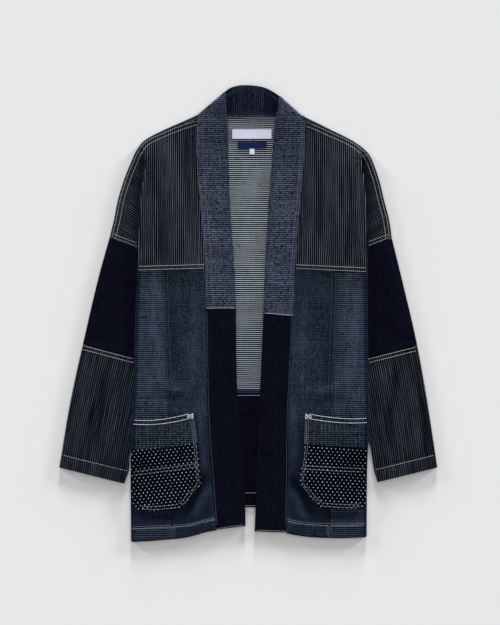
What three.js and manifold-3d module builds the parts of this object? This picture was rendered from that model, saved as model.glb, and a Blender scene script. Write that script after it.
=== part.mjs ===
// A cropped, open-fronted haori jacket of patchwork indigo cloth, laid flat on its back with both
// sleeves folded down beside the body. Millimetres; +Z is up off the surface it lies on, +Y points
// to the collar, and the wearer's right side is at -X. The origin is under the middle of its outline.
//
// Each piece is a wall of cloth through rows of points. A row runs outwards from the centre line, so
// "out" is a distance from that line, and each side of the jacket is worked out as its own mirror half.
import * as THREE from "three";
import Module from "manifold-3d";

const CLOTH = 1.2; // one layer of denim
const BAND = 2.6; // the collar band, which is folded double
const GAP = 0.4; // between two pieces at a seam, and between layers that lie on each other
const LAYER = CLOTH + GAP; // from the middle of one layer to the middle of the next
const FLOOR = CLOTH / 2; // the middle of a layer that lies on the surface
const LABEL = 1.0; // a woven label

const NECK_SEAM_Y = 343.5;
const BACK_SEAM_Y = -137.5; // where the ribbed upper back meets the plain navy back
const STACK = FLOOR + LAYER / 2; // the middle of back and front together, lying on the surface
const FOLD_RADIUS = LAYER; // of the turned stack at the armhole, back and front nested in it
const FOLD_REACH = FOLD_RADIUS + LAYER / 2 + FLOOR; // from the middle of a turn to its outer face
const SLEEVE_STACK = 3.4; // height of the flat sleeve that lies under the body's side
const SLEEVE_INNER_RADIUS = 0.85; // of the sleeve's fold under the body
const SLEEVE_OUTER_RADIUS = 1.5; // of the sleeve's outer fold
const SIDE_SPACING = 3.2; // between front and back where the front turns under at the side
const SIDE_TURN_UNDER = 12; // how far the front reaches under at the side, to the side seam
const EDGE_SPACING = 3.0; // between back and front at the shoulder, cap and sleeve edges
const RAMP = 18; // width of the slope beside what lies under the body
const ROLL_LENGTH = 110; // how far down the front the band's roll at the neck settles
const BAND_ROLL = { seam: 1.7, free: 3.2 }; // radius where the band folds over beside the neck

const CLOTHS = {
  yoke: { color: 0x21262d, roughness: 0.9 },
  rib: { color: 0x34404d, roughness: 0.9 },
  slub: { color: 0x202a36, roughness: 0.9 },
  navy: { color: 0x11131f, roughness: 0.92 },
  dashed: { color: 0x1c2026, roughness: 0.92 },
  dotted: { color: 0x1a202b, roughness: 0.9 },
  label: { color: 0xcfd0e4, roughness: 0.7 },
  labelNavy: { color: 0x1f2a4a, roughness: 0.7 },
};

// The outlines of the two halves, read from the laid-out jacket: its two sides hang a little unlike.
const SIDES = [
  {
    name: "right",
    sign: -1,
    corner: { out: 183.5, y: 288 }, // top of the armhole fold, at the shoulder
    underarmY: 115.5, // where the body's side fold leaves the armhole
    underarm: { out: 112, y: 84 }, // inner end of the drop seam, under the body
    cuffClear: -240, // below this the sleeve lies beside the body
    band: [
      { y: 392, free: 37, seam: 85 },
      { y: 343, free: 35.5, seam: 89 },
      { y: 300, free: 34.5, seam: 90 },
      { y: 248, free: 33.5, seam: 89 },
      { y: 195, free: 31.5, seam: 84 },
      { y: 147, free: 28.5, seam: 79.5 },
      { y: 95, free: 24.5, seam: 76 },
      { y: 25, free: 21.5, seam: 73.5 },
      { y: -115, free: 19.5, seam: 71.5 },
      { y: -185, free: 14.5, seam: 69.5 },
      { y: -290, free: 6.5, seam: 62 },
      { y: -376, free: 4, seam: 55.5 },
    ],
    bandFold: { seam: { out: 87.3, y: 349.3 }, free: { out: 37.5, y: 391.5 } },
    neckDrop: 0, // how much lower the neck seam is at its end
    bandSeamY: { seam: 9, free: 9.5 },
    bandEndY: { seam: -377, free: -370.5 },
    shoulder: [
      { out: 72, y: 355.5 },
      { out: 115.5, y: 336 },
      { out: 147, y: 322 },
      { out: 180, y: 304.5 },
      { out: 194.5, y: 287 },
      { out: 203, y: 269.5 },
      { out: 217, y: 234.5 },
      { out: 227.5, y: 199.5 },
      { out: 234.5, y: 164.5 },
      { out: 242, y: 134 },
    ],
    side: [
      { y: 300, out: 186 },
      { y: 288, out: 183.5 },
      { y: 277, out: 180.5 },
      { y: 260, out: 179.5 },
      { y: 240, out: 181.5 },
      { y: 215, out: 186 },
      { y: 190, out: 188.5 },
      { y: 112, out: 191.5 },
      { y: 25, out: 196 },
      { y: -115, out: 200.5 },
      { y: -240, out: 205 },
      { y: -397, out: 204.5 },
    ],
    panel: [
      { y: 77, out: 149 },
      { y: -45, out: 146 },
      { y: -185, out: 139.5 },
      { y: -397, out: 133 },
    ],
    sleeveOuter: [
      { y: 134, out: 242 },
      { y: 59.5, out: 262.5 },
      { y: -45.5, out: 287 },
      { y: -150, out: 310 },
      { y: -268, out: 330 },
    ],
    sleeveInner: [
      { y: 84, out: 112 },
      { y: -130, out: 172 },
      { y: -215, out: 196.5 },
      { y: -243, out: 206.5 },
      { y: -273, out: 208.5 },
      { y: -296.5, out: 216.5 },
    ],
    sleeveSeamY: { outer: -53, inner: -87 },
    cuffY: { outer: -268.3, inner: -296.5 },
    yokeSeamY: { inner: 78, outer: 74.5 },
    hem: [
      { out: 55.5, y: -377 },
      { out: 73, y: -380 },
      { out: 108, y: -389.5 },
      { out: 157, y: -394.5 },
      { out: 204.5, y: -397.5 },
    ],
    pocket: {
      top: { innerY: -172.5, outerY: -183, sag: 4 },
      split: { innerY: -224.5, outerY: -237, sag: 2 },
      knee: { innerY: -298, outerY: -320, sag: 0 },
      bottom: { innerY: -339.5, outerY: -343, sag: 2 },
      inner: [
        { y: -172.5, out: 95.5 },
        { y: -225, out: 88.5 },
        { y: -298, out: 82.5 },
      ],
      cornerOut: 116,
    },
  },
  {
    name: "left",
    sign: 1,
    corner: { out: 198.5, y: 282 },
    underarmY: 115.5,
    underarm: { out: 128, y: 87 },
    cuffClear: -228,
    band: [
      { y: 392, free: 49, seam: 99 },
      { y: 343, free: 48, seam: 100 },
      { y: 300, free: 44, seam: 99 },
      { y: 248, free: 40.5, seam: 96 },
      { y: 195, free: 36, seam: 91.5 },
      { y: 147, free: 33, seam: 87 },
      { y: 95, free: 30, seam: 83 },
      { y: 25, free: 27.8, seam: 79.5 },
      { y: -115, free: 22, seam: 73 },
      { y: -185, free: 19, seam: 70 },
      { y: -290, free: 15, seam: 69 },
      { y: -383, free: 11.5, seam: 67 },
    ],
    bandFold: { seam: { out: 94.5, y: 346.6 }, free: { out: 49, y: 387.5 } },
    neckDrop: 2.2,
    bandSeamY: { seam: -3.5, free: 0.5 },
    bandEndY: { seam: -382, free: -380 },
    shoulder: [
      { out: 80, y: 353.5 },
      { out: 117.5, y: 336 },
      { out: 145.5, y: 322 },
      { out: 180.5, y: 304.5 },
      { out: 205, y: 287 },
      { out: 217, y: 269.5 },
      { out: 229.5, y: 234.5 },
      { out: 238, y: 199.5 },
      { out: 247, y: 164.5 },
      { out: 251.5, y: 133 },
    ],
    side: [
      { y: 290, out: 200 },
      { y: 282, out: 198.5 },
      { y: 269, out: 198 },
      { y: 250, out: 201 },
      { y: 232, out: 203.5 },
      { y: 185, out: 206 },
      { y: 120, out: 207.5 },
      { y: 25, out: 209 },
      { y: -115, out: 210.5 },
      { y: -185, out: 211.5 },
      { y: -268, out: 208.5 },
      { y: -397, out: 207.5 },
    ],
    panel: [
      { y: 77, out: 155 },
      { y: -45, out: 152 },
      { y: -185, out: 147.5 },
      { y: -397, out: 143.5 },
    ],
    sleeveOuter: [
      { y: 133, out: 251.5 },
      { y: 59.5, out: 269.5 },
      { y: -45.5, out: 294 },
      { y: -150, out: 313 },
      { y: -268, out: 331 },
    ],
    sleeveInner: [
      { y: 87, out: 128 },
      { y: -100, out: 173 },
      { y: -195, out: 199 },
      { y: -230, out: 213 },
      { y: -275, out: 221 },
      { y: -294, out: 226.5 },
    ],
    sleeveSeamY: { outer: -55, inner: -87 },
    cuffY: { outer: -268.3, inner: -294 },
    yokeSeamY: { inner: 78, outer: 72.5 },
    hem: [
      { out: 67, y: -382.5 },
      { out: 80, y: -386 },
      { out: 110, y: -391.5 },
      { out: 157, y: -394.5 },
      { out: 207.5, y: -389.5 },
    ],
    pocket: {
      top: { innerY: -173, outerY: -180, sag: 3 },
      split: { innerY: -227, outerY: -233.5, sag: 1 },
      knee: { innerY: -297, outerY: -318, sag: 0 },
      bottom: { innerY: -337, outerY: -339, sag: 2 },
      inner: [
        { y: -173, out: 99.5 },
        { y: -227, out: 98 },
        { y: -297, out: 89.5 },
      ],
      cornerOut: 123.5,
    },
  },
];

const NECK_TOP = [
  { x: -36, y: 392 },
  { x: -19, y: 399 },
  { x: 2, y: 399.5 },
  { x: 28, y: 395.5 },
  { x: 46, y: 389 },
];

const LABELS = [
  { name: "label_main", x0: -27.5, x1: 41, y0: 306.5, y1: 323, cloth: "label" },
  { name: "label_small", x0: -17.5, x1: 32.5, y0: 289.5, y1: 300.5, cloth: "labelNavy" },
  { name: "size_tab", x0: 3, x1: 11.5, y0: 279.5, y1: 288.8, cloth: "label" },
];

const clamp01 = (t) => Math.min(1, Math.max(0, t));
const smooth = (t) => clamp01(t) ** 2 * (3 - 2 * clamp01(t));
const mix = (a, b, t) => a + (b - a) * t;
const mixPoint = (a, b, t) => ({ out: mix(a.out, b.out, t), y: mix(a.y, b.y, t) });
const steps = (count) => Array.from({ length: count + 1 }, (_, i) => i / count);
const none = (count) => Array(count).fill(null);

// A smooth curve through a table: curve(table, "y", "out") is a function that gives out at a y.
function curve(table, from, to) {
  const rows = [...table].sort((a, b) => a[from] - b[from]);
  const last = rows.length - 1;
  const slopes = rows.map((row, i) => {
    const before = rows[Math.max(0, i - 1)];
    const after = rows[Math.min(last, i + 1)];
    return (after[to] - before[to]) / (after[from] - before[from]);
  });
  return (at) => {
    if (at <= rows[0][from]) return rows[0][to] + slopes[0] * (at - rows[0][from]);
    if (at >= rows[last][from]) return rows[last][to] + slopes[last] * (at - rows[last][from]);
    const i = rows.findIndex((row) => row[from] > at) - 1;
    const span = rows[i + 1][from] - rows[i][from];
    const t = (at - rows[i][from]) / span;
    return (
      rows[i][to] * (1 - t) ** 2 * (1 + 2 * t) +
      rows[i + 1][to] * t ** 2 * (3 - 2 * t) +
      slopes[i] * span * t * (1 - t) ** 2 -
      slopes[i + 1] * span * t ** 2 * (1 - t)
    );
  };
}

// The direction in plan from one place to another, with its length.
function towards(from, to) {
  const long = Math.hypot(to.out - from.out, to.y - from.y);
  return { along: (to.out - from.out) / long, across: (to.y - from.y) / long, long };
}

const UP = { along: 1, across: 0 };

// A point of a wall's middle surface, with the way its upper face looks. The lean turns that face
// from straight up towards the given way in plan.
function point(out, y, z, lean = 0, way = UP) {
  return {
    at: [out, y, z],
    face: [Math.sin(lean) * way.along, Math.sin(lean) * way.across, Math.cos(lean)],
  };
}

const mirrored = (p) => p && { at: [-p.at[0], p.at[1], p.at[2]], face: [-p.face[0], p.face[1], p.face[2]] };

// The closed wall around rows of points, half its thickness to each side. A null in a row leaves
// that place out, and a ring joins the last column to the first.
function wall(rows, thickness, { sign = 1, ring = false } = {}) {
  const positions = [];
  const number = rows.map((row) =>
    row.map((p) => {
      if (!p) return -1;
      for (const half of [thickness / 2, -thickness / 2])
        positions.push(
          sign * (p.at[0] + p.face[0] * half),
          p.at[1] + p.face[1] * half,
          p.at[2] + p.face[2] * half,
        );
      return positions.length / 3 - 2;
    }),
  );
  const across = ring ? number[0].length : number[0].length - 1;
  const next = (j) => (ring ? (j + 1) % number[0].length : j + 1);
  const cell = (i, j) => {
    const column = ring ? (j + across) % across : j;
    if (i < 0 || i >= rows.length - 1 || column < 0 || column >= across) return null;
    const found = [
      number[i][column],
      number[i][next(column)],
      number[i + 1][next(column)],
      number[i + 1][column],
    ];
    return found.some((n) => n < 0) ? null : found;
  };
  const index = [];
  const quad = (a, b, c, d) => index.push(a, b, c, a, c, d);
  for (let i = 0; i < rows.length - 1; i++)
    for (let j = 0; j < across; j++) {
      const corners = cell(i, j);
      if (!corners) continue;
      const [a, b, c, d] = corners;
      quad(a, b, c, d);
      index.push(c + 1, b + 1, a + 1, d + 1, c + 1, a + 1);
      if (!cell(i - 1, j)) quad(a, a + 1, b + 1, b);
      if (!cell(i, j + 1)) quad(b, b + 1, c + 1, c);
      if (!cell(i + 1, j)) quad(c, c + 1, d + 1, d);
      if (!cell(i, j - 1)) quad(d, d + 1, a + 1, a);
    }
  return faceOut(positions, index);
}

// A mesh from positions and faces, turned round if its faces point in.
function faceOut(positions, index) {
  const corner = (k) => new THREE.Vector3(...positions.slice(3 * k, 3 * k + 3));
  let volume = 0;
  for (let i = 0; i < index.length; i += 3)
    volume += corner(index[i]).dot(corner(index[i + 1]).cross(corner(index[i + 2])));
  if (volume < 0)
    for (let i = 0; i < index.length; i += 3)
      [index[i + 1], index[i + 2]] = [index[i + 2], index[i + 1]];
  return new THREE.BufferGeometry()
    .setAttribute("position", new THREE.BufferAttribute(new Float32Array(positions), 3))
    .setIndex(index);
}

const wasm = await Module();
wasm.setup();

// Pieces of one cloth that share a seamless surface, as one body.
function united(geometries) {
  const made = geometries.map(
    (g) =>
      new wasm.Manifold(
        new wasm.Mesh({
          numProp: 3,
          vertProperties: g.attributes.position.array,
          triVerts: new Uint32Array(g.index.array),
        }),
      ),
  );
  const mesh = wasm.Manifold.union(made).getMesh();
  return new THREE.BufferGeometry()
    .setAttribute("position", new THREE.BufferAttribute(mesh.vertProperties.slice(), 3))
    .setIndex([...mesh.triVerts]);
}

// Where a line across the garment, given as y at a distance out, meets an edge, given as out at y.
function meet(edge, line) {
  let out = edge(line(120));
  for (let turn = 0; turn < 4; turn++) out = edge(line(out));
  return out;
}

const backHemY = (out) => mix(-338, -379, smooth(out / 190));
const settled = (out, y) => smooth((backHemY(out) + 1 - y) / 18); // past the back's hem

// What the pieces of one side share: its edges as functions, and the heights at which back and
// front lie over the folded armhole and the flat sleeve.
function layOut(side) {
  const fold = curve(side.side, "y", "out");
  const seam = curve(side.band, "y", "seam");
  const free = curve(side.band, "y", "free");
  const sleeveInner = curve(side.sleeveInner, "y", "out");
  const tuckEdge = curve([side.underarm, side.corner], "y", "out");
  const edgeTable = side.shoulder.map((row, k) => ({ k, ...row }));
  const edgeOut = curve(edgeTable, "k", "out");
  const edgeY = curve(edgeTable, "k", "y");
  const edgeEnd = edgeTable.length - 1;
  const edgeStart = steps(200).find((k) => edgeOut(k) > side.bandFold.seam.out + 0.8);
  const capEnd = side.shoulder[edgeEnd];

  // The armhole fold in the row at a height y: where its tuck lies, its turn, the run between
  // its two turns, and how much it lifts the body.
  function armhole(y) {
    const share = clamp01((side.corner.y - y) / (side.corner.y - side.underarmY));
    const tuck = mixPoint(side.corner, side.underarm, share);
    const depth = Math.hypot(fold(y) - tuck.out, y - tuck.y) * smooth(share * 20);
    const turn = Math.PI * smooth(depth / 12);
    const leg = Math.max(1, depth - 2 * FOLD_REACH);
    const lift = 2 * FOLD_RADIUS * (1 - Math.cos(turn)) + leg * Math.sin(turn);
    return { share, tuck, turn, leg, lift };
  }

  // The inner edge of what lies under the body: the tucked armhole, then the sleeve.
  const underEdge = (y) =>
    y < side.underarm.y
      ? Math.min(sleeveInner(y), fold(y) - 10)
      : tuckEdge(Math.min(y, side.corner.y));

  const neckSeamY = (out) => NECK_SEAM_Y - side.neckDrop * smooth((out - 70) / 18);
  const dropY = (out) =>
    mix(side.underarm.y, capEnd.y, (out - side.underarm.out) / (capEnd.out - side.underarm.out));
  const overSleeve = (y) => smooth((y - side.cuffClear + 45) / 40);

  function lift(out, y) {
    const above = y - Math.min(side.underarmY, dropY(out));
    const folded = armhole(Math.max(y, side.underarmY)).lift;
    const flat = SLEEVE_STACK * overSleeve(y);
    const height = mix(flat, folded, above >= 0 ? 1 : 1 - smooth((-1 - above) / 25));
    return height * smooth((out - underEdge(y) + RAMP + 4) / RAMP);
  }

  const backZ = (out, y) => FLOOR + lift(out, y);
  const legZ = (y) => FLOOR + SLEEVE_STACK * overSleeve(y);
  const foldLoft = (y) =>
    y >= side.underarmY
      ? 1.4 * (1 - smooth(armhole(y).turn / 0.3))
      : (SIDE_SPACING - LAYER) * smooth((side.underarmY - y) / 20);

  // The front lies on the back, a little loose, and past the back's hem it lies on the surface.
  function frontZ(out, y) {
    const soft = 0.5 * Math.sin(out / 17 + y / 61) * Math.sin(y / 47 + 1.1);
    const inner = mix(0.8, 1.4 + soft, smooth((out - seam(y)) / 20));
    const loft = mix(inner, foldLoft(y), smooth((out - fold(y) + 30) / 25));
    const onSurface = FLOOR + SIDE_SPACING * smooth((out - fold(y) + 34) / 22);
    return mix(backZ(out, y) + LAYER + loft, onSurface, settled(out, y));
  }

  // A place on the shoulder and cap edge, or at a depth inside it, at a count along its table.
  function edgeAt(k, depth = 0) {
    const way = towards(
      { out: edgeOut(k - 0.01), y: edgeY(k - 0.01) },
      { out: edgeOut(k + 0.01), y: edgeY(k + 0.01) },
    );
    return { out: edgeOut(k) + way.across * depth, y: edgeY(k) - way.along * depth };
  }
  const inset = (depthAt) =>
    curve(
      steps(50)
        .map((t) => edgeAt(t * edgeEnd, depthAt(edgeOut(t * edgeEnd))))
        .filter((row, k, rows) => !k || row.y < rows[k - 1].y - 0.5),
      "y",
      "out",
    );

  return {
    ...side, fold, seam, free, sleeveInner, armhole, underEdge, neckSeamY, dropY, capEnd, edgeStart, edgeEnd,
    edgeAt, inset, backZ, frontZ, legZ, foldLoft,
    panelSeam: curve(side.panel, "y", "out"),
    hemY: curve(side.hem, "out", "y"),
    sleeveOuter: curve(side.sleeveOuter, "y", "out"),
  };
}

const TURN = steps(4).slice(1); // shares of a turn at which it has points
const CAP = [0.2, 0.4, 0.6, 0.8, 1];
const ARMHOLE_COLUMNS = 2 * TURN.length + 2 + CAP.length;
const STRIP = (out) => mix(10.5, 5.5, smooth((out - 90) / 80)); // back cloth over the shoulder edge

// Plan positions of a row's points over the body: evenly to where something lies under it, and
// closer over the slope beside that.
function bodyColumns(half, inner, end, y) {
  const slope = half.underEdge(y) - RAMP - 8;
  if (y > half.corner.y + 1 || slope < inner + 6) return steps(8).map((t) => mix(inner, end, t));
  const rise = Math.min(24, end - slope - 1);
  return [
    ...[0, 1 / 3, 2 / 3].map((t) => mix(inner, slope, t)),
    ...steps(4).map((t) => slope + rise * t),
    end,
  ];
}

// A row beyond the body at the armhole: round the fold, in under the body to the tuck, round it,
// and out again as the cap. The layer lies above the middle of the stack, or below it.
function armholeColumns(half, y, above, capZ, capEnd, legStop) {
  const { tuck, turn, leg, lift } = half.armhole(y);
  const corner = { out: half.fold(y), y };
  const legWay = towards(tuck, corner);
  const capWay = towards(tuck, capEnd);
  const square = Math.PI / 2;
  const columns = [];
  const add = (at, angle, way) =>
    columns.push(
      point(
        at.out + Math.sin(angle) * way.along * above,
        at.y + Math.sin(angle) * way.across * above,
        at.z + Math.cos(angle) * above,
        angle,
        way,
      ),
    );
  const shift = (from, way, run, down) => ({
    out: from.out + way.along * run,
    y: from.y + way.across * run,
    z: from.z - down,
  });
  const start = { out: foldStart(half, y), y, z: STACK + lift };
  let at = start;
  for (const t of TURN) {
    const angle = turn * t;
    at = shift(start, UP, FOLD_RADIUS * Math.sin(Math.min(angle, square)), FOLD_RADIUS * (1 - Math.cos(angle)));
    if (angle > square) at = shift(at, legWay, FOLD_RADIUS * (Math.sin(angle) - 1), 0);
    add(at, angle, angle > square ? legWay : UP);
  }
  const legUnit = turn > square ? legWay : capWay;
  const turned = at;
  for (const run of [Math.min(legStop, leg / 2), leg]) {
    at = shift(turned, legUnit, Math.cos(turn) * run, Math.sin(turn) * run);
    add(at, turn, legUnit);
  }
  const low = at;
  for (const t of TURN) {
    const angle = turn * (1 - t);
    const down = FOLD_RADIUS * (Math.cos(angle) - Math.cos(turn));
    const inward = turn > square ? FOLD_RADIUS * (Math.sin(turn) - Math.sin(Math.max(angle, square))) : 0;
    const outward = FOLD_RADIUS * (Math.sin(Math.min(turn, square)) - Math.sin(Math.min(angle, square)));
    at = shift(shift(low, legWay, inward, 0), capWay, outward, down);
    add(at, angle, angle > square ? legWay : capWay);
  }
  const from = columns[columns.length - 1].at;
  const room = Math.min(18, Math.max(4, capEnd.out - half.fold(y) - 3));
  for (const t of CAP) {
    const out = mix(from[0], capEnd.out, t);
    const rise = smooth((out - half.fold(y) - 3) / room);
    columns.push(point(out, mix(from[1], capEnd.y, t), mix(from[2], capZ, rise)));
  }
  return columns;
}

// Where a row of the body ends and its turn begins, at the armhole and at the plain side below it.
const foldStart = (half, y) =>
  half.fold(y) - FOLD_REACH * Math.sin(Math.min(half.armhole(y).turn, Math.PI / 2));
const sideRadius = (half, y) => (half.frontZ(half.fold(y) - FOLD_REACH, y) - half.legZ(y)) / 2;
const sideStart = (half, y) => half.fold(y) - sideRadius(half, y) - FLOOR;

// The front turned under at the side, below the armhole: round the fold and in to the side seam.
function sideColumns(half, y) {
  const low = half.legZ(y);
  const radius = sideRadius(half, y);
  const turned = TURN.map((t) =>
    point(
      sideStart(half, y) + radius * Math.sin(Math.PI * t),
      y,
      low + radius + radius * Math.cos(Math.PI * t),
      Math.PI * t,
    ),
  );
  return [...turned, point(half.fold(y) - SIDE_TURN_UNDER, y, low, Math.PI)];
}

// Rows of a layer from the corner of the armhole fold to the underarm, closer at the corner.
function armholeRows(half, inner, above, capZ, capEdge, bodyZ) {
  const low = half.dropY(meet(capEdge, half.dropY));
  return [0, 0.07, 0.1, 0.125, 0.145, 0.165, 0.19, 0.27, 0.4, 0.55, 0.7, 0.85, 1].map((share) => {
    const y = mix(half.corner.y, half.underarmY, share);
    const endY = mix(half.corner.y, low, share);
    const capEnd = { out: capEdge(endY), y: endY };
    const start = foldStart(half, y);
    const body = bodyColumns(half, inner(y), start, y).map((out) => point(out, y, bodyZ(out, y)));
    if (share > 0)
      return [...body, ...armholeColumns(half, y, above(y), capZ, capEnd, SIDE_TURN_UNDER - FOLD_REACH)];
    const spread = steps(ARMHOLE_COLUMNS).slice(1);
    return [...body, ...spread.map((t) => point(mix(start, capEnd.out, t), y, capZ))];
  });
}

// The lines that the rows of front and back follow below the underarm.
const yokeLine = (half) => (out) =>
  mix(half.yokeSeamY.inner, half.yokeSeamY.outer, (out - 75) / 120);
const underarmLines = (half) =>
  [0.2, 0.5, 1].map((t) => (out) => mix(half.underarmY, yokeLine(half)(out), t));
const SIDE_LINES = [20, -40, -95].map((y) => () => y);
const SKIRT_LINES = [-190, -222, -247, -260, -273, -287, -312].map((y) => () => y);
const shifted = (line, by) => (out) => line(out) + by;

// Rows of a front panel between two edges, each row along its line.
const panelRows = (lines, inner, outer, columns, z) =>
  lines.map((line) => {
    const from = meet(inner, line);
    const to = meet(outer, line);
    return steps(columns).map((t) => {
      const out = mix(from, to, t);
      return point(out, line(out), z(out, line(out)));
    });
  });

const parts = new THREE.Group();
function piece(name, cloth, geometry) {
  const mesh = new THREE.Mesh(geometry, new THREE.MeshStandardMaterial(CLOTHS[cloth]));
  mesh.name = name;
  parts.add(mesh);
}

const halves = SIDES.map(layOut);

// The front of each side.
for (const half of halves) {
  const sided = { sign: half.sign };
  const shoulderSeam = half.inset((out) => STRIP(out) + GAP);
  const bandSeam = (y) => half.seam(y) + GAP;

  // Yoke: chest and shoulder, with the cap that lies over the arm.
  const top = steps(80)
    .map((t) => mix(350, 300, t))
    .find((y) => shoulderSeam(y) > bandSeam(y) + 2);
  const chest = [0, 0.2, 0.4, 0.6, 0.8].map((t) => {
    const y = mix(top, half.corner.y, t);
    const columns = steps(8).map((s) => mix(bandSeam(y), shoulderSeam(y), s));
    return [...columns.map((out) => point(out, y, half.frontZ(out, y))), ...none(ARMHOLE_COLUMNS)];
  });
  const fold = armholeRows(
    half, bandSeam, (y) => LAYER / 2 + half.foldLoft(y), FLOOR + EDGE_SPACING, shoulderSeam, half.frontZ,
  );
  const below = underarmLines(half).map((line) => {
    const edge = line(half.fold(80));
    const body = bodyColumns(half, meet(bandSeam, line), sideStart(half, edge), edge);
    return [
      ...body.map((out) => point(out, line(out), half.frontZ(out, line(out)))),
      ...sideColumns(half, edge),
      ...none(ARMHOLE_COLUMNS - TURN.length - 1),
    ];
  });
  piece(`yoke_${half.name}`, "yoke", wall([...chest, ...fold, ...below], CLOTH, sided));

  // Front panels below the yoke: one beside the band, one round the side fold.
  const hemLines = [0, 0.3, 0.6, 1].map((t) => (out) => mix(backHemY(out) + 1, half.hemY(out), t));
  const lines = [
    shifted(yokeLine(half), -GAP),
    ...SIDE_LINES,
    () => BACK_SEAM_Y,
    ...SKIRT_LINES,
    ...hemLines,
  ];
  const midSeam = (y) => half.panelSeam(y) - GAP / 2;
  const sideSeam = (y) => half.panelSeam(y) + GAP / 2;
  const mid = panelRows(lines, bandSeam, midSeam, 5, half.frontZ);
  const round = panelRows(lines, sideSeam, (y) => sideStart(half, y), 5, half.frontZ);
  piece(`front_mid_${half.name}`, "slub", wall(mid, CLOTH, sided));
  piece(
    `front_side_${half.name}`,
    "rib",
    wall(round.map((row) => [...row, ...sideColumns(half, row[5].at[1])]), CLOTH, sided),
  );

  // Patch pocket over both panels: a ribbed top and a dotted bag with its inner corner cut off.
  const { pocket } = half;
  const pocketInner = curve(pocket.inner, "y", "out");
  const pocketZ = (out, y) => half.frontZ(out, y) + LAYER + 0.3;
  const pocketRow = ({ innerY, outerY, sag }, inner, shift = 0) => {
    const outer = half.fold(outerY) - 2;
    return steps(8).map((t) => {
      const out = mix(inner, outer, t);
      const y = mix(innerY, outerY, t) - sag * 4 * t * (1 - t) + shift;
      return point(out, y, pocketZ(out, y));
    });
  };
  const between = (a, b, t) => ({
    innerY: mix(a.innerY, b.innerY, t),
    outerY: mix(a.outerY, b.outerY, t),
    sag: mix(a.sag, b.sag, t),
  });
  const topRows = [0, 0.33, 0.66, 1].map((t) => {
    const row = between(pocket.top, pocket.split, t);
    return pocketRow(row, pocketInner(row.innerY), t === 1 ? GAP / 2 : 0);
  });
  const bagRows = [0, 0.33, 0.66, 1].map((t) => {
    const row = between(pocket.split, pocket.knee, t);
    return pocketRow(row, pocketInner(row.innerY), t ? 0 : -GAP / 2);
  });
  const cornerRows = [0.5, 1].map((t) =>
    pocketRow(between(pocket.knee, pocket.bottom, t), mix(pocket.inner[2].out, pocket.cornerOut, t)),
  );
  piece(`pocket_top_${half.name}`, "rib", wall(topRows, CLOTH, sided));
  piece(`pocket_lower_${half.name}`, "dotted", wall([...bagRows, ...cornerRows], CLOTH, sided));

  // The collar band: folded over beside the neck, then down the front in two lengths.
  const across = steps(4);
  const onBack = CLOTH + GAP + BAND / 2;
  const foldWay = towards(half.bandFold.free, half.bandFold.seam);
  const outwards = { along: -foldWay.across, across: foldWay.along };
  const radiusAt = (v) => mix(BAND_ROLL.seam, BAND_ROLL.free, v);
  const foldAt = (v, depth) => {
    const at = mixPoint(half.bandFold.seam, half.bandFold.free, v);
    return { out: at.out - outwards.along * depth, y: at.y - outwards.across * depth };
  };
  const bandZ = (v, out, y, top) => {
    const rolled = (BAND / 2 + 2 * radiusAt(v) - onBack) * smooth(1 - (top - y) / ROLL_LENGTH);
    const edge = 0.6 * smooth((v - 0.5) / 0.5) * smooth((top - y) / 20);
    return mix(onBack + rolled + edge, BAND / 2, settled(out, y));
  };
  const turnedRows = [-1, 0, 0.25, 0.5, 0.75].map((t) =>
    across.map((v) => {
      const radius = radiusAt(v);
      const centre = foldAt(v, radius + BAND / 2);
      const low = foldAt(v, radius + BAND / 2 + 2.2);
      if (t < 0) return point(low.out, low.y, BAND / 2, Math.PI);
      const lean = Math.PI * (1 - t);
      const reach = radius * Math.sin(lean);
      return point(
        centre.out + outwards.along * reach,
        centre.y + outwards.across * reach,
        BAND / 2 + radius + radius * Math.cos(lean),
        lean,
        outwards,
      );
    }),
  );
  const bandRows = (from, to, run) =>
    run.map((u) =>
      across.map((v) => {
        const start = from(v);
        const y = mix(start.y, mix(to.seam, to.free, v), u);
        const out = mix(start.out, mix(half.seam(y), half.free(y), v), smooth(u / 0.12));
        return point(out, y, bandZ(v, out, y, foldAt(v, 0).y));
      }),
    );
  const upper = bandRows(
    (v) => foldAt(v, radiusAt(v) + BAND / 2),
    half.bandSeamY,
    [0, 0.03, 0.07, 0.12, 0.2, 0.32, 0.48, 0.65, 0.82, 1],
  );
  const lowerStart = (v) => {
    const y = mix(half.bandSeamY.seam, half.bandSeamY.free, v) - GAP;
    return { out: mix(half.seam(y), half.free(y), v), y };
  };
  const toHem = (v, u) => {
    const start = lowerStart(v).y;
    const end = mix(half.bandEndY.seam, half.bandEndY.free, v);
    const hem = backHemY(mix(half.seam(end), half.free(end), v)) + 1;
    return u < 1 ? mix(start, hem, u) : mix(hem, end, u - 1);
  };
  const lower = [0, 0.25, 0.5, 0.75, 1, 1.25, 1.5, 1.75, 2].map((u) =>
    across.map((v) => {
      const y = toHem(v, u);
      const out = mix(half.seam(y), half.free(y), v);
      return point(out, y, bandZ(v, out, y, foldAt(v, 0).y));
    }),
  );
  piece(`band_upper_${half.name}`, "rib", wall([...turnedRows, ...upper], BAND, sided));
  piece(`band_lower_${half.name}`, "navy", wall(lower, BAND, sided));

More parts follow.
